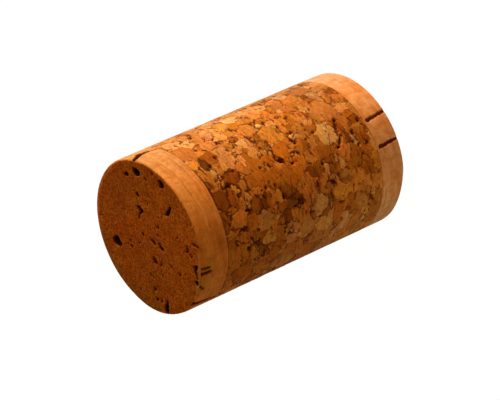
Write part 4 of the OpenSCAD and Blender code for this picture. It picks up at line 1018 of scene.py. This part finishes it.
def make_disc(settings, name, joint, face, pores, channels, lines, dark_joint, wear, reach, painted_sheen):
    """A closed disc of natural cork with a pitted face, a rounded rim and a grooved side."""
    up = 1 if face > joint else -1
    thickness = abs(face - joint)
    rounding = settings.rim_rounding / MM
    divisions = settings.face_divisions
    columns = 4 * divisions

    # Rings from the rim of the flat face, round the rounding and down the side to the joint
    turn = np.linspace(0.0, np.pi / 2, settings.rim_rows + 1)[1:]
    ring_radius = RADIUS - rounding + rounding * np.sin(turn)
    ring_height = thickness - rounding + rounding * np.cos(turn)
    side = np.linspace(thickness - rounding, 0.0, settings.side_rows + 1)[1:]
    ring_radius = np.concatenate([ring_radius, np.full(len(side), RADIUS)])
    ring_height = np.concatenate([ring_height, side])
    ring_out = np.concatenate([np.sin(turn), np.ones(len(side))])
    ring_up = np.concatenate([np.cos(turn), np.zeros(len(side))])

    x, y = face_grid(divisions, RADIUS - rounding)
    bearing = -np.pi / 4 + np.arange(columns) * 2 * np.pi / columns
    grid_x, grid_y = x.ravel(), y.ravel()
    shape = (len(ring_radius), columns)
    ring_bearing = np.broadcast_to(bearing, shape)
    height_field = np.concatenate([
        np.full(len(grid_x), thickness), np.repeat(ring_height, columns)])
    flat_x = np.concatenate([grid_x, (ring_radius[:, None] * np.cos(bearing)).ravel()])
    flat_y = np.concatenate([grid_y, (ring_radius[:, None] * np.sin(bearing)).ravel()])
    out = np.concatenate([np.zeros(len(grid_x)), np.repeat(ring_out, columns)])
    over = np.concatenate([np.ones(len(grid_x)), np.repeat(ring_up, columns)])
    around = np.concatenate([np.arctan2(grid_y, grid_x), ring_bearing.ravel()])
    points = np.stack([flat_x, flat_y, up * height_field + joint], -1)

    # Pores go straight down from the face, and channels straight in from the side
    pore = np.zeros_like(flat_x)
    wobble = 0.1 * cloud(points, 0.3, 23)
    # How dark each pore is inside: partly the cork's own tone and partly painted shade
    pore_dark_and_shade = np.zeros_like(flat_x)
    for index, (px, py, length, width, direction, dark) in enumerate(pores):
        inside = blob(flat_x - px, flat_y - py, length + 0.08, width + 0.08, direction, index)
        hole = ramp(inside + 1.5 * wobble, 1.2, 0.8)
        pore = np.maximum(pore, hole)
        pore_dark_and_shade = np.maximum(pore_dark_and_shade, np.minimum(hole * 2.5, 1.0) * dark)
    near_face = ramp(height_field, thickness - 1.3, thickness - 0.5)
    pore *= near_face
    pore_dark_and_shade *= near_face
    # The channels' dark tone is partly the cork's own and partly painted shade
    channel, channel_dark_and_shade = channel_field(around, height_field, channels, points)
    channel *= ramp(out, 0.2, 0.7)
    channel_dark_and_shade *= ramp(out, 0.1, 0.5)
    radius = np.hypot(flat_x, flat_y)
    inset = RADIUS - radius - (thickness - height_field)
    rough = 0.006 * (1 + cloud(points, 0.35, 24)) + 0.02 * (1 + cloud(points, 2.5, 25))
    groove = DISC_GROOVE * ramp(height_field, 0.12, 0.0)
    worn = by_bearing(around, wear) * ramp(height_field, thickness - 1.0, thickness)
    worn *= ramp(radius, RADIUS - 1.0, RADIUS - 0.1)
    inward = out * (rough + groove + worn) + channel * settings.channel_depth / MM
    downward = over * rough * 0.5 + pore * settings.pore_depth / MM + worn
    lift = joint_wave(around, 2 if up > 0 else 1) * ramp(height_field, thickness * 0.8, 0.0)
    scale = np.where(out > 0, 1 - inward / np.maximum(radius, 0.001), 1.0)
    vertices = np.stack([flat_x * scale, flat_y * scale,
                         joint + up * (height_field - downward) + lift], -1)
    vertices = np.concatenate([vertices, [[0.0, 0.0, joint]]])

    parts = disc_faces(divisions, shape[0], up)
    faces = [corners for part in parts for corners in part.tolist()]
    step = np.hypot(np.diff(np.concatenate([[RADIUS - rounding], ring_radius])),
                    np.diff(np.concatenate([[thickness], ring_height])))
    run = np.concatenate([[0.0], np.cumsum(step)])
    flat_points = np.stack([np.append(flat_x, 0.0), np.append(flat_y, 0.0)], -1)
    bake = disc_page(flat_points, parts, run, up)

    piece = build_mesh(name, vertices, faces, bake)
    growth, pale = growth_lines(around, height_field, lines, points)
    pale += (up < 0) * 1.2 * ramp(height_field, thickness - 1.3, thickness - 0.2)
    for label, field in (("pore_dark_and_shade", pore_dark_and_shade), ("channel_dark_and_shade", channel_dark_and_shade), ("growth", growth), ("pale", pale),
                         ("end_grain", inset + by_bearing(around, reach)),
                         # Stains, partly painted shade along the shaded rim, and patches of painted
                         # light
                         ("stain_and_shade", spots(points, TOP_STAINS_AND_SHADE)), ("painted_light", spots(points, TOP_PAINTED_LIGHT)),
                         # Painted sheen, by bearing
                         ("painted_sheen", by_bearing(around, painted_sheen)),
                         ("joint", ramp(height_field, 0.25, 0.0) * by_bearing(around, dark_joint))):
        add_values(piece, label, "POINT", np.append(field, 0.0))
    return piece


def spots(points, rows):
    """Soft round spots, given as bearing, distance from the axis, height, size and strength."""
    field = np.zeros(len(points))
    for where, distance, height, size, strength in rows:
        where = math.radians(where)
        middle = (distance * math.cos(where), distance * math.sin(where), height)
        away = np.linalg.norm(points - middle, axis=1) / size
        field = np.maximum(field, strength * np.exp(-away * away))
    return field


def growth_lines(around, height, lines, points):
    """The dark lines of yearly growth round a disc's side, and the pale bands beside them."""
    dark = np.zeros_like(height)
    pale = np.zeros_like(height)
    for index, (half_width, stops) in enumerate(lines):
        middle = by_bearing(around, [(where, distance) for where, distance, _ in stops])
        strength = by_bearing(around, [(where, share) for where, _, share in stops])
        gap = height - middle - 0.07 * cloud(points, 0.7, 31 + index)
        dark = np.maximum(dark, strength * np.exp(-(gap / half_width) ** 2))
        pale = np.maximum(pale, strength * np.exp(-((gap + 0.3) / (2 * half_width)) ** 2))
    return dark, pale


class CORK_OT_top_disc(bpy.types.Operator):
    """Build the upper natural cork disc, with the pitted face"""
    bl_idname = "cork.top_disc"
    bl_label = "Upper disc"

    def execute(self, context):
        settings = context.scene.cork_discs
        piece = make_disc(settings, "top_disc_cork", UPPER_JOINT, UPPER_FACE, FACE_PORES,
                          TOP_CHANNELS, TOP_LINES, TOP_JOINT, TOP_WEAR, TOP_REACH, TOP_PAINTED_SHEEN)
        material = disc_material(settings, settings.upper_colour)
        settle(piece, "top_disc", material)
        return {"FINISHED"}


class CORK_OT_bottom_disc(bpy.types.Operator):
    """Build the lower natural cork disc"""
    bl_idname = "cork.bottom_disc"
    bl_label = "Lower disc"

    def execute(self, context):
        settings = context.scene.cork_discs
        piece = make_disc(settings, "bottom_disc_cork", LOWER_JOINT, LOWER_FACE, [],
                          BOTTOM_CHANNELS, BOTTOM_LINES, BOTTOM_JOINT, BOTTOM_WEAR, BOTTOM_REACH,
                          BOTTOM_PAINTED_SHEEN)
        material = disc_material(settings, settings.lower_colour)
        settle(piece, "bottom_disc", material)
        return {"FINISHED"}


# ---------------------------------------------------------------------------
# Materials
# ---------------------------------------------------------------------------

class Graph:
    """Adds nodes to a material or a node group in a few words."""

    def __init__(self, tree):
        self.tree = tree

    def add(self, kind, inputs=None, **settings):
        """A node of a kind, with settings, and values or sockets for its inputs by name."""
        made = self.tree.nodes.new(kind)
        for key, value in settings.items():
            setattr(made, key, value)
        for key, value in (inputs or {}).items():
            self.feed(made.inputs[key], value)
        return made

    def feed(self, socket, value):
        if isinstance(value, bpy.types.NodeSocket):
            self.tree.links.new(value, socket)
        else:
            socket.default_value = value

    def math(self, operation, first, second):
        return self.add("ShaderNodeMath", {0: first, 1: second}, operation=operation).outputs[0]

    def plus(self, first, second):
        return self.math("ADD", first, second)

    def times(self, first, second):
        return self.math("MULTIPLY", first, second)

    def most(self, first, second):
        return self.math("MAXIMUM", first, second)

    def roughen(self, value, field, amount, middle=0.5):
        """A value, raised and lowered by how far a field lies from its middle."""
        return self.plus(value, self.times(self.math("SUBTRACT", field, middle), amount))

    def vector(self, operation, first, second):
        """Vector arithmetic: the second value is a number for SCALE and a vector otherwise."""
        key = "Scale" if operation == "SCALE" else 1
        return self.add("ShaderNodeVectorMath", {0: first, key: second},
                        operation=operation).outputs[0]

    def rise(self, value, low, high, start=0.0, end=1.0):
        """A smooth step of a value from start to end."""
        return self.add("ShaderNodeMapRange", {
            "Value": value, "From Min": low, "From Max": high, "To Min": start, "To Max": end},
            interpolation_type="SMOOTHSTEP").outputs["Result"]

    def mix(self, share, first, second, blend="MIX"):
        made = self.add("ShaderNodeMix", data_type="RGBA", blend_type=blend, clamp_factor=True)
        self.feed(made.inputs["Factor"], share)
        for socket, value in ((made.inputs[6], first), (made.inputs[7], second)):
            if isinstance(value, (tuple, list)):
                value = (*value, 1.0)
            self.feed(socket, value)
        return made.outputs[2]

    def attribute(self, name, output="Fac"):
        return self.add("ShaderNodeAttribute", attribute_name=name).outputs[output]

    def noise(self, vector, scale, detail=2.0, roughness=0.5, distortion=0.0):
        return self.add("ShaderNodeTexNoise", {
            "Vector": vector, "Scale": scale, "Detail": detail, "Roughness": roughness,
            "Distortion": distortion}).outputs["Fac"]

    def group(self, tree, inputs):
        return self.add("ShaderNodeGroup", inputs, node_tree=tree).outputs

    def mix_shaders(self, share, first, second):
        return self.add("ShaderNodeMixShader", {"Fac": share, 1: first, 2: second}).outputs[0]


def effect_group(name, inputs, outputs):
    """Turns a function that fills in a graph into one that gives a shared node group.

    An input is given as its default, or as "Vector" or "Color" where it has none."""
    def wrap(fill):
        def shared():
            if name in bpy.data.node_groups:
                return bpy.data.node_groups[name]
            tree = bpy.data.node_groups.new(name, "ShaderNodeTree")
            for label, default in inputs.items():
                kind = default if isinstance(default, str) else (
                    "Color" if isinstance(default, tuple) else "Float")
                socket = tree.interface.new_socket(label, in_out="INPUT",
                                                   socket_type="NodeSocket" + kind)
                if not isinstance(default, str):
                    socket.default_value = default
            for label in outputs:
                kind = "Color" if label == "Color" else "Float"
                tree.interface.new_socket(label, in_out="OUTPUT", socket_type="NodeSocket" + kind)
            graph = Graph(tree)
            given = graph.add("NodeGroupInput").outputs
            fill(graph, given, graph.add("NodeGroupOutput").inputs)
            return tree
        return shared
    return wrap


@effect_group("Cork streaks", {"Vector": "Vector", "Length": 1.0, "Width": 0.15},
              ("Streaks", "Pale Lines", "Slits"))
def streak_group(graph, given, result):
    """Streaks and short slits that run along X."""
    parts = graph.add("ShaderNodeSeparateXYZ", {"Vector": given["Vector"]}).outputs
    along = graph.math("DIVIDE", parts["X"], given["Length"])
    across = graph.math("DIVIDE", parts["Y"], given["Width"])
    fields = []
    for shift, scale, detail, distortion in ((0.0, 0.5, 3.0, 0.4), (7.0, 1.3, 2.0, 0.3),
                                             (13.0, 0.85, 2.0, 0.6)):
        stretched = graph.add("ShaderNodeCombineXYZ", {
            "X": along, "Y": across, "Z": shift}).outputs[0]
        fields.append(graph.noise(stretched, scale, detail, 0.55, distortion))
    graph.feed(result["Streaks"], graph.rise(fields[0], 0.3, 0.7))
    graph.feed(result["Pale Lines"], graph.rise(fields[1], 0.55, 0.72))
    graph.feed(result["Slits"], graph.rise(fields[2], 0.63, 0.72))


@effect_group("Cork cells", {"Vector": "Vector", "Dot Size": 0.2, "Dot Share": 0.3},
              ("Dots", "Mottle", "Clouds", "Height"))
def cell_group(graph, given, result):
    """The fine speckle of cork cells: dark dots, soft clouds and a bumpy height."""
    scaled = graph.vector("SCALE", given["Vector"], graph.math("DIVIDE", 1.0, given["Dot Size"]))
    fine = graph.noise(scaled, 0.6, 2.0, 0.6)
    middle = graph.noise(scaled, 0.27, 3.0, 0.6)
    soft = graph.noise(scaled, 0.08, 3.0, 0.55)
    edge = graph.math("SUBTRACT", 0.66, graph.times(given["Dot Share"], 0.3))
    graph.feed(result["Dots"], graph.rise(fine, edge, graph.plus(edge, 0.1)))
    graph.feed(result["Mottle"], graph.rise(middle, 0.3, 0.7))
    graph.feed(result["Clouds"], graph.rise(soft, 0.3, 0.7))
    graph.feed(result["Height"], fine)


@effect_group("Cork crumbs", {"Vector": "Vector", "Size": 1.0, "Warp": 0.3, "Line": 0.06},
              ("Tone", "Edge"))
def crumb_group(graph, given, result):
    """Angular crumbs: a tone for each one, and a thin line along its edges."""
    scaled = graph.vector("SCALE", given["Vector"], graph.math("DIVIDE", 1.0, given["Size"]))
    swirl = graph.add("ShaderNodeTexNoise", {"Vector": scaled, "Scale": 1.6, "Detail": 3.0})
    centred = graph.vector("SUBTRACT", swirl.outputs["Color"], (0.5, 0.5, 0.5))
    pushed = graph.vector("SCALE", centred, graph.times(given["Warp"], 2.0))
    warped = graph.vector("ADD", scaled, pushed)
    cells = graph.add("ShaderNodeTexVoronoi", {"Vector": warped, "Scale": 1.0}, feature="F1")
    edges = graph.add("ShaderNodeTexVoronoi", {"Vector": warped, "Scale": 1.0},
                      feature="DISTANCE_TO_EDGE")
    tone = graph.add("ShaderNodeSeparateXYZ", {"Vector": cells.outputs["Color"]}).outputs["X"]
    graph.feed(result["Tone"], tone)
    graph.feed(result["Edge"], graph.rise(
        edges.outputs["Distance"], graph.times(given["Line"], 0.4), given["Line"], 1.0, 0.0))


@effect_group("Cork rings", {"Vector": "Vector", "Spacing": 0.3}, ("Dark", "Pale"))
def ring_group(graph, given, result):
    """Thin dark and pale lines that run round the stopper, now and then and not quite level."""
    parts = graph.add("ShaderNodeSeparateXYZ", {"Vector": given["Vector"]}).outputs
    tilt = graph.noise(given["Vector"], 0.16, 1.0)
    lifted = graph.plus(parts["Z"], graph.times(tilt, 9.0))
    level = graph.math("DIVIDE", lifted, given["Spacing"])
    fields = []
    for shift in (0.0, 40.0):
        squashed = graph.add("ShaderNodeCombineXYZ", {
            "X": graph.times(parts["X"], 0.45),
            "Y": graph.plus(graph.times(parts["Y"], 0.45), shift),
            "Z": graph.times(level, 0.5)}).outputs[0]
        fields.append(graph.noise(squashed, 1.0, 3.0, 0.6, 0.3))
    graph.feed(result["Dark"], graph.rise(fields[0], 0.58, 0.70))
    graph.feed(result["Pale"], graph.rise(fields[1], 0.58, 0.70))


@effect_group("Cork specks", {"Vector": "Vector", "Size": 0.2}, ("Dark", "Pale"))
def speck_group(graph, given, result):
    """Fine dark and pale specks."""
    scale = graph.math("DIVIDE", 1.0, given["Size"])
    for name, shift in (("Dark", 0.0), ("Pale", 50.0)):
        moved = graph.vector("ADD", given["Vector"], (shift, shift, 0.0))
        graph.feed(result[name], graph.rise(graph.noise(moved, scale, 2.0, 0.6), 0.5, 0.66))


def tint_steps(graph, colour, steps):
    """Multiplies a colour by tints, each as far as its mask and share say."""
    for mask, share, tint in steps:
        tinted = graph.mix(1.0, colour, tint, "MULTIPLY")
        colour = graph.mix(graph.times(mask, share), colour, tinted)
    return colour


@effect_group("Hollow dark and shade", {
    "Color": "Color", "Hollow": 0.0, "Ragged": 0.5, "Edge": (0.20, 0.045, 0.006, 1.0),
    "Inside": (0.040, 0.010, 0.002, 1.0)}, ("Color", "Mask"))
def hollow_dark_and_shade_group(graph, given, result):
    """Darkens the inside of pores, channels and cracks, with a brown edge: partly the cork's own dark
    lining and partly painted shade in the recess.
    """
    uneven = graph.roughen(given["Hollow"], given["Ragged"], 0.5)
    edged = graph.mix(graph.rise(uneven, 0.12, 0.45), given["Color"], given["Edge"])
    mask = graph.rise(uneven, 0.35, 0.9)
    graph.feed(result["Color"], graph.mix(mask, edged, given["Inside"]))
    graph.feed(result["Mask"], mask)


def finish_material(graph, colour, height, distance):
    """Ends a material: a matt surface with a bumpy normal."""
    bump = graph.add("ShaderNodeBump", {"Strength": 1.0, "Distance": distance, "Height": height})
    surface = graph.add("ShaderNodeBsdfPrincipled", {
        "Base Color": colour, "Roughness": ROUGHNESS, "Normal": bump.outputs[0],
        "Specular IOR Level": SPECULAR})
    graph.add("ShaderNodeOutputMaterial", {"Surface": surface.outputs[0]})


def new_material(name):
    material = bpy.data.materials.new(name)
    material.use_nodes = True
    material.node_tree.nodes.clear()
    return material, Graph(material.node_tree)


def object_millimetres(graph):
    """Coordinates on the object in millimetres."""
    return graph.vector("SCALE", graph.add("ShaderNodeTexCoord").outputs["Object"], 1 / MM)


def granule_material(settings):
    """Ground cork: coloured granules with their own grain, dark cracks and holes."""
    material, graph = new_material("Pressed granules")
    grain = graph.add("ShaderNodeUVMap", uv_map="Grain").outputs[0]
    place = object_millimetres(graph)
    streaks = graph.group(streak_group(), {
        "Vector": grain, "Length": settings.grain_length / MM, "Width": settings.grain_width / MM})
    cells = graph.group(cell_group(), {
        "Vector": place, "Dot Size": settings.cell_size / MM, "Dot Share": 0.25})
    squashed = graph.vector("MULTIPLY", place, (1.0, 1.0, 1.6))
    flat = graph.vector("MULTIPLY", place, (1.0, 1.0, 3.0))
    chips, crumbs, grit, flakes = (
        graph.group(crumb_group(), {"Vector": vector, "Size": size, "Warp": warp, "Line": line})
        for vector, size, warp, line in ((squashed, 1.5, 0.25, 0.05), (squashed, 0.62, 0.3, 0.11),
                                         (place, 0.27, 0.3, 0.1), (flat, 1.0, 0.35, 0.07)))
    patches = graph.rise(graph.noise(place, 0.4, 2.0), 0.38, 0.62)
    seams = graph.group(ring_group(), {"Vector": place, "Spacing": 0.32})
    speck = graph.group(speck_group(), {"Vector": place, "Size": 0.16})
    breaks = graph.rise(graph.noise(place, 1.1, 2.0), 0.42, 0.58)
    streakiness = graph.attribute("streakiness")
    crumbly = graph.rise(patches, 0.0, 1.0, 0.35, 1.0)
    colour = tint_steps(graph, graph.attribute("granule_colour", "Color"), [
        (graph.times(streaks["Streaks"], streakiness), 0.65, (0.68, 0.50, 0.36)),
        (graph.rise(chips["Tone"], 0.3, 0.9), 0.2, (0.80, 0.70, 0.55)),
        (graph.times(graph.rise(crumbs["Tone"], 0.5, 0.9), crumbly), 0.18, (0.68, 0.52, 0.38)),
        (graph.times(graph.rise(flakes["Tone"], 0.55, 0.8), crumbly), 0.2, (0.72, 0.54, 0.38)),
        (streaks["Pale Lines"], 0.4, (1.12, 1.22, 1.5)),
        (seams["Pale"], 0.35, (1.10, 1.18, 1.4)),
        (seams["Dark"], 0.7, (0.58, 0.34, 0.20)),
        (grit["Tone"], 0.35, (0.82, 0.58, 0.36)),
        (speck["Dark"], 1.0, (1.06, 0.54, 0.30)),
        (speck["Pale"], 0.8, (0.94, 1.42, 3.0)),
        (cells["Clouds"], 0.22, (0.82, 0.72, 0.58)),
        (cells["Mottle"], 0.35, (0.78, 0.58, 0.40)),
        (graph.rise(graph.attribute("shade"), 0.1, 1.2), 0.35, (0.52, 0.36, 0.24)),
    ])
    dark = (0.15, 0.026, 0.003)
    colour = graph.mix(graph.times(cells["Dots"], 0.25), colour, dark)
    fine = graph.times(streaks["Slits"], patches)
    for edge, share in ((crumbs["Edge"], graph.times(patches, 0.4)), (chips["Edge"], breaks),
                        (flakes["Edge"], graph.times(breaks, patches))):
        fine = graph.most(fine, graph.times(edge, share))
    colour = graph.mix(graph.times(fine, 0.4), colour, dark)
    outline = graph.rise(graph.attribute("outline"), 0.35, 0.85)
    open_edge = graph.most(graph.rise(breaks, 0.0, 1.0, 0.15, 0.8),
                           graph.rise(graph.attribute("shade"), 0.1, 0.4))
    level = graph.add("ShaderNodeSeparateXYZ", {"Vector": place}).outputs["Z"]
    closed = graph.rise(level, 5.0, 22.0, 0.35, 0.95)
    colour = graph.mix(graph.times(outline, graph.times(open_edge, closed)),
                       colour, (0.10, 0.018, 0.002))
    ragged = graph.rise(grit["Tone"], 0.0, 1.0, 0.2, 0.8)
    # Open cracks between granules are painted dark: painted shade in the narrow gaps
    crack = graph.rise(graph.roughen(graph.attribute("crack"), ragged, 0.9), 0.35, 0.7)
    colour = graph.mix(graph.times(crack, 0.75), colour, (0.10, 0.019, 0.003))
    lost = graph.times(graph.rise(flakes["Tone"], 0.965, 0.975), patches)
    specks = graph.times(graph.rise(grit["Tone"], 0.985, 0.992), patches)
    gaps = graph.most(graph.times(lost, 0.5), graph.times(specks, 0.45))
    # Hollows and gaps between granules painted dark inside: partly painted shade in the recess
    tint = graph.group(hollow_dark_and_shade_group(), {
        "Color": colour, "Ragged": ragged,
        "Hollow": graph.most(graph.rise(graph.attribute("hollow"), 0.25, 1.0), gaps),
        "Edge": (0.27, 0.058, 0.006, 1.0), "Inside": (0.12, 0.027, 0.003, 1.0)})
    height = cells["Height"]
    for field, share in ((streaks["Streaks"], -0.5), (flakes["Tone"], 1.0), (crumbs["Tone"], 0.6)):
        height = graph.plus(height, graph.times(field, share))
    finish_material(graph, tint["Color"], height, 0.02 * MM)
    return material


def disc_material(settings, side_colour):
    """Natural cork: a smooth side with growth lines, and a speckled end face."""
    material, graph = new_material("Natural cork")
    place = object_millimetres(graph)
    layered = graph.vector("MULTIPLY", place, (0.15, 0.15, 1.0))
    bands = graph.noise(layered, 1.1, 3.0, 0.6, 0.8)
    veins = graph.noise(layered, 2.6, 2.0, 0.6, 0.5)
    cells = graph.group(cell_group(), {"Vector": place, "Dot Size": 0.2, "Dot Share": 0.5})
    speck = graph.group(speck_group(), {"Vector": place, "Size": 0.17})
    blotches = graph.vector("MULTIPLY", place, (1.2, 1.2, 0.9))
    side = tint_steps(graph, tuple(side_colour), [
        (graph.rise(bands, 0.4, 0.7), 0.85, (0.87, 0.70, 0.46)),
        (graph.rise(bands, 0.45, 0.3), 0.4, (1.05, 1.12, 1.35)),
        (graph.rise(veins, 0.5, 0.7), 0.5, (0.86, 0.72, 0.50)),
        (cells["Mottle"], 0.5, (0.86, 0.78, 0.62)),
        (speck["Dark"], 0.7, (0.96, 0.79, 0.46)),
        (speck["Pale"], 0.6, (0.97, 1.16, 2.0)),
        (graph.rise(graph.noise(blotches, 1.0, 2.0), 0.4, 0.68), 0.9, (0.87, 0.72, 0.48)),
        (graph.rise(graph.noise(blotches, 2.3, 2.0), 0.45, 0.65), 0.5, (0.90, 0.82, 0.60)),
        (graph.rise(graph.noise(blotches, 0.5, 2.0), 0.42, 0.62), 0.7, (1.03, 1.08, 1.35)),
        (graph.attribute("pale"), 0.8, (1.06, 1.12, 1.25)),
        # Painted sheen on the lit side and at the edges
        (graph.attribute("painted_sheen"), 1.0, (0.80, 1.06, 1.9)),
    ])
    growth = graph.times(graph.attribute("growth"), graph.rise(veins, 0.3, 0.6, 0.6, 1.0))
    side = graph.mix(graph.times(growth, 0.6), side, tuple(settings.line_colour))
    patches = graph.rise(graph.noise(place, 0.28, 2.0), 0.35, 0.65)
    flecks = graph.rise(graph.noise(place, 3.4, 2.0, 0.6), 0.56, 0.72)
    end = tint_steps(graph, tuple(settings.end_colour), [
        (cells["Clouds"], 0.6, (0.76, 0.66, 0.50)),
        (cells["Mottle"], 0.8, (0.66, 0.46, 0.32)),
        (speck["Dark"], 0.85, (0.92, 0.38, 0.40)),
        (speck["Pale"], 0.85, (1.06, 1.85, 1.6)),
        (graph.times(flecks, patches), 0.8, (1.35, 1.5, 1.8)),
        (graph.rise(graph.noise(place, 0.6, 2.0), 0.4, 0.65), 0.5, (0.85, 1.05, 0.9)),
        (graph.rise(graph.noise(place, 0.23, 2.0), 0.4, 0.6), 0.5, (1.06, 0.93, 0.7)),
    ])
    end = graph.mix(graph.times(cells["Dots"], 0.75), end, (0.20, 0.030, 0.003))
    ragged = graph.noise(place, 3.5, 3.0, 0.65)
    on_end = graph.rise(graph.roughen(graph.attribute("end_grain"), ragged, 0.9), -0.12, 0.12)
    colour = graph.mix(on_end, side, end)
    # Stains, partly painted shade along the shaded rim, and patches of painted light
    stain_and_shade = graph.times(graph.attribute("stain_and_shade"), graph.rise(ragged, 0.3, 0.6, 0.6, 1.0))
    colour = tint_steps(graph, colour, [
        (stain_and_shade, 0.9, (0.70, 0.94, 0.75)), (graph.attribute("painted_light"), 0.9, (1.20, 1.30, 1.0))])
    joint = graph.roughen(graph.attribute("joint"), graph.noise(place, 1.2, 3.0), 2.0, 0.62)
    colour = graph.mix(graph.rise(joint, 0.2, 1.0, 0.0, 0.8), colour, (0.06, 0.015, 0.003))
    # Channels painted dark inside: partly the cork's own tone and partly painted shade
    carved = graph.group(hollow_dark_and_shade_group(), {
        "Color": colour, "Ragged": ragged, "Hollow": graph.attribute("channel_dark_and_shade"),
        "Edge": (0.30, 0.062, 0.009, 1.0), "Inside": (0.060, 0.009, 0.0015, 1.0)})
    # Pores painted dark inside: partly the cork's own tone and partly painted shade
    tint = graph.group(hollow_dark_and_shade_group(), {
        "Color": carved["Color"], "Ragged": ragged, "Hollow": graph.attribute("pore_dark_and_shade"),
        "Edge": (0.20, 0.045, 0.006, 1.0), "Inside": (0.025, 0.008, 0.003, 1.0)})
    height = graph.plus(graph.times(cells["Height"], on_end), graph.times(veins, 0.3))
    finish_material(graph, tint["Color"], height, 0.04 * MM)
    return material


# ---------------------------------------------------------------------------
# Stage
# ---------------------------------------------------------------------------

def seen_share(graph):
    """1 for rays from the camera and for those that glossy or clear surfaces send on."""
    path = graph.add("ShaderNodeLightPath").outputs
    glossy = graph.most(path["Is Camera Ray"], path["Is Glossy Ray"])
    return graph.most(glossy, path["Is Transmission Ray"])


class CORK_OT_stage(bpy.types.Operator):
    """Set the camera, the lamps and the pale floor"""
    bl_idname = "cork.stage"
    bl_label = "Stage"

    def execute(self, context):
        settings = context.scene.cork_stage
        self.camera(context.scene, settings)
        self.lamps(context.scene, settings)
        self.floor(context.scene, settings)
        context.scene.view_settings.view_transform = "Standard"
        return {"FINISHED"}

    def camera(self, scene, settings):
        data = bpy.data.cameras.new("Camera")
        data.sensor_fit = "HORIZONTAL"
        data.lens = settings.lens
        camera = bpy.data.objects.new("Camera", data)
        level = Matrix.Rotation(math.pi / 2 - settings.camera_tilt, 4, "X")
        camera.matrix_world = (Matrix.Translation(settings.camera_place) @ level
                               @ Matrix.Rotation(-settings.camera_roll, 4, "Z"))
        scene.collection.objects.link(camera)
        scene.camera = camera

    def soft_lamp(self, scene, name, place, aim, size, power, colour):
        """A rectangular area lamp that the camera doesn't see."""
        lamp = bpy.data.lights.new(name, "AREA")
        lamp.shape = "RECTANGLE"
        lamp.size, lamp.size_y = size
        lamp.energy = power
        lamp.color = colour
        lamp_object = bpy.data.objects.new(name, lamp)
        lamp_object.location = place
        direction = Vector(aim) - Vector(place)
        lamp_object.rotation_euler = direction.to_track_quat("-Z", "Y").to_euler()
        lamp_object.visible_camera = False
        scene.collection.objects.link(lamp_object)

    def lamps(self, scene, settings):
        self.soft_lamp(scene, "Key lamp", KEY_PLACE, LAMP_AIM, KEY_SIZE, settings.key_power,
                       settings.key_colour)
        self.soft_lamp(scene, "Rim lamp", RIM_PLACE, LAMP_AIM, RIM_SIZE, settings.rim_power,
                       settings.rim_colour)
        # A bluish card that lies by the lower end and lights it from close by
        self.soft_lamp(scene, "Bounce card", CARD_PLACE, (0.0, 0.0, 0.0), CARD_SIZE,
                       settings.bounce_power, CARD_COLOUR)

        world = bpy.data.worlds.new("World")
        world.use_nodes = True
        world.node_tree.nodes.clear()
        graph = Graph(world.node_tree)
        seen = seen_share(graph)
        fill = graph.add("ShaderNodeBackground", {
            "Color": (*settings.fill_colour, 1.0), "Strength": settings.fill_strength})
        white = graph.add("ShaderNodeBackground", {"Color": (1.0, 1.0, 1.0, 1.0), "Strength": 1.0})
        graph.add("ShaderNodeOutputWorld", {
            "Surface": graph.mix_shaders(seen, fill.outputs[0], white.outputs[0])})
        scene.world = world

    def floor(self, scene, settings):
        mesh = bpy.data.meshes.new("Floor")
        corners = [(x * FLOOR_HALF, y * FLOOR_HALF, 0) for x, y in ((-1, -1), (1, -1), (1, 1), (-1, 1))]
        mesh.from_pydata(corners, [], [(0, 1, 2, 3)])
        floor = bpy.data.objects.new("Floor", mesh)
        floor.location.z = CAD_BOX[0].z - FLOOR_GAP
        scene.collection.objects.link(floor)
        material, graph = new_material("Pale floor")
        pale = graph.add("ShaderNodeBsdfDiffuse", {"Color": (*settings.floor_colour, 1.0)})
        white = graph.add("ShaderNodeEmission", {"Color": (1.0, 1.0, 1.0, 1.0), "Strength": 1.10})
        share = graph.times(seen_share(graph), 0.9)
        graph.add("ShaderNodeOutputMaterial", {
            "Surface": graph.mix_shaders(share, pale.outputs[0], white.outputs[0])})
        mesh.materials.append(material)


# ---------------------------------------------------------------------------
# Panel and registration
# ---------------------------------------------------------------------------

OPERATORS = (CORK_OT_granule_body, CORK_OT_top_disc, CORK_OT_bottom_disc, CORK_OT_stage)


class CORK_PT_panel(bpy.types.Panel):
    """The stopper's pieces and their settings"""
    bl_idname = "CORK_PT_panel"
    bl_label = "Cork stopper"
    bl_space_type = "VIEW_3D"
    bl_region_type = "UI"
    bl_category = "Cork stopper"

    def draw(self, context):
        for operator in OPERATORS:
            self.layout.operator(operator.bl_idname)
        for name in SETTINGS:
            group = getattr(context.scene, name)
            for key in group.__annotations__:
                self.layout.prop(group, key)


SETTINGS = {"cork_granules": GranuleSettings, "cork_discs": DiscSettings,
            "cork_stage": StageSettings}
CLASSES = (*SETTINGS.values(), *OPERATORS, CORK_PT_panel)


def register():
    for kind in CLASSES:
        bpy.utils.register_class(kind)
    for name, kind in SETTINGS.items():
        setattr(bpy.types.Scene, name, PointerProperty(type=kind))


def unregister():
    for name in SETTINGS:
        delattr(bpy.types.Scene, name)
    for kind in reversed(CLASSES):
        bpy.utils.unregister_class(kind)


def main():
    register()
    bpy.ops.cork.granule_body()
    bpy.ops.cork.top_disc()
    bpy.ops.cork.bottom_disc()
    bpy.ops.cork.stage()


if __name__ == "__main__":
    main()
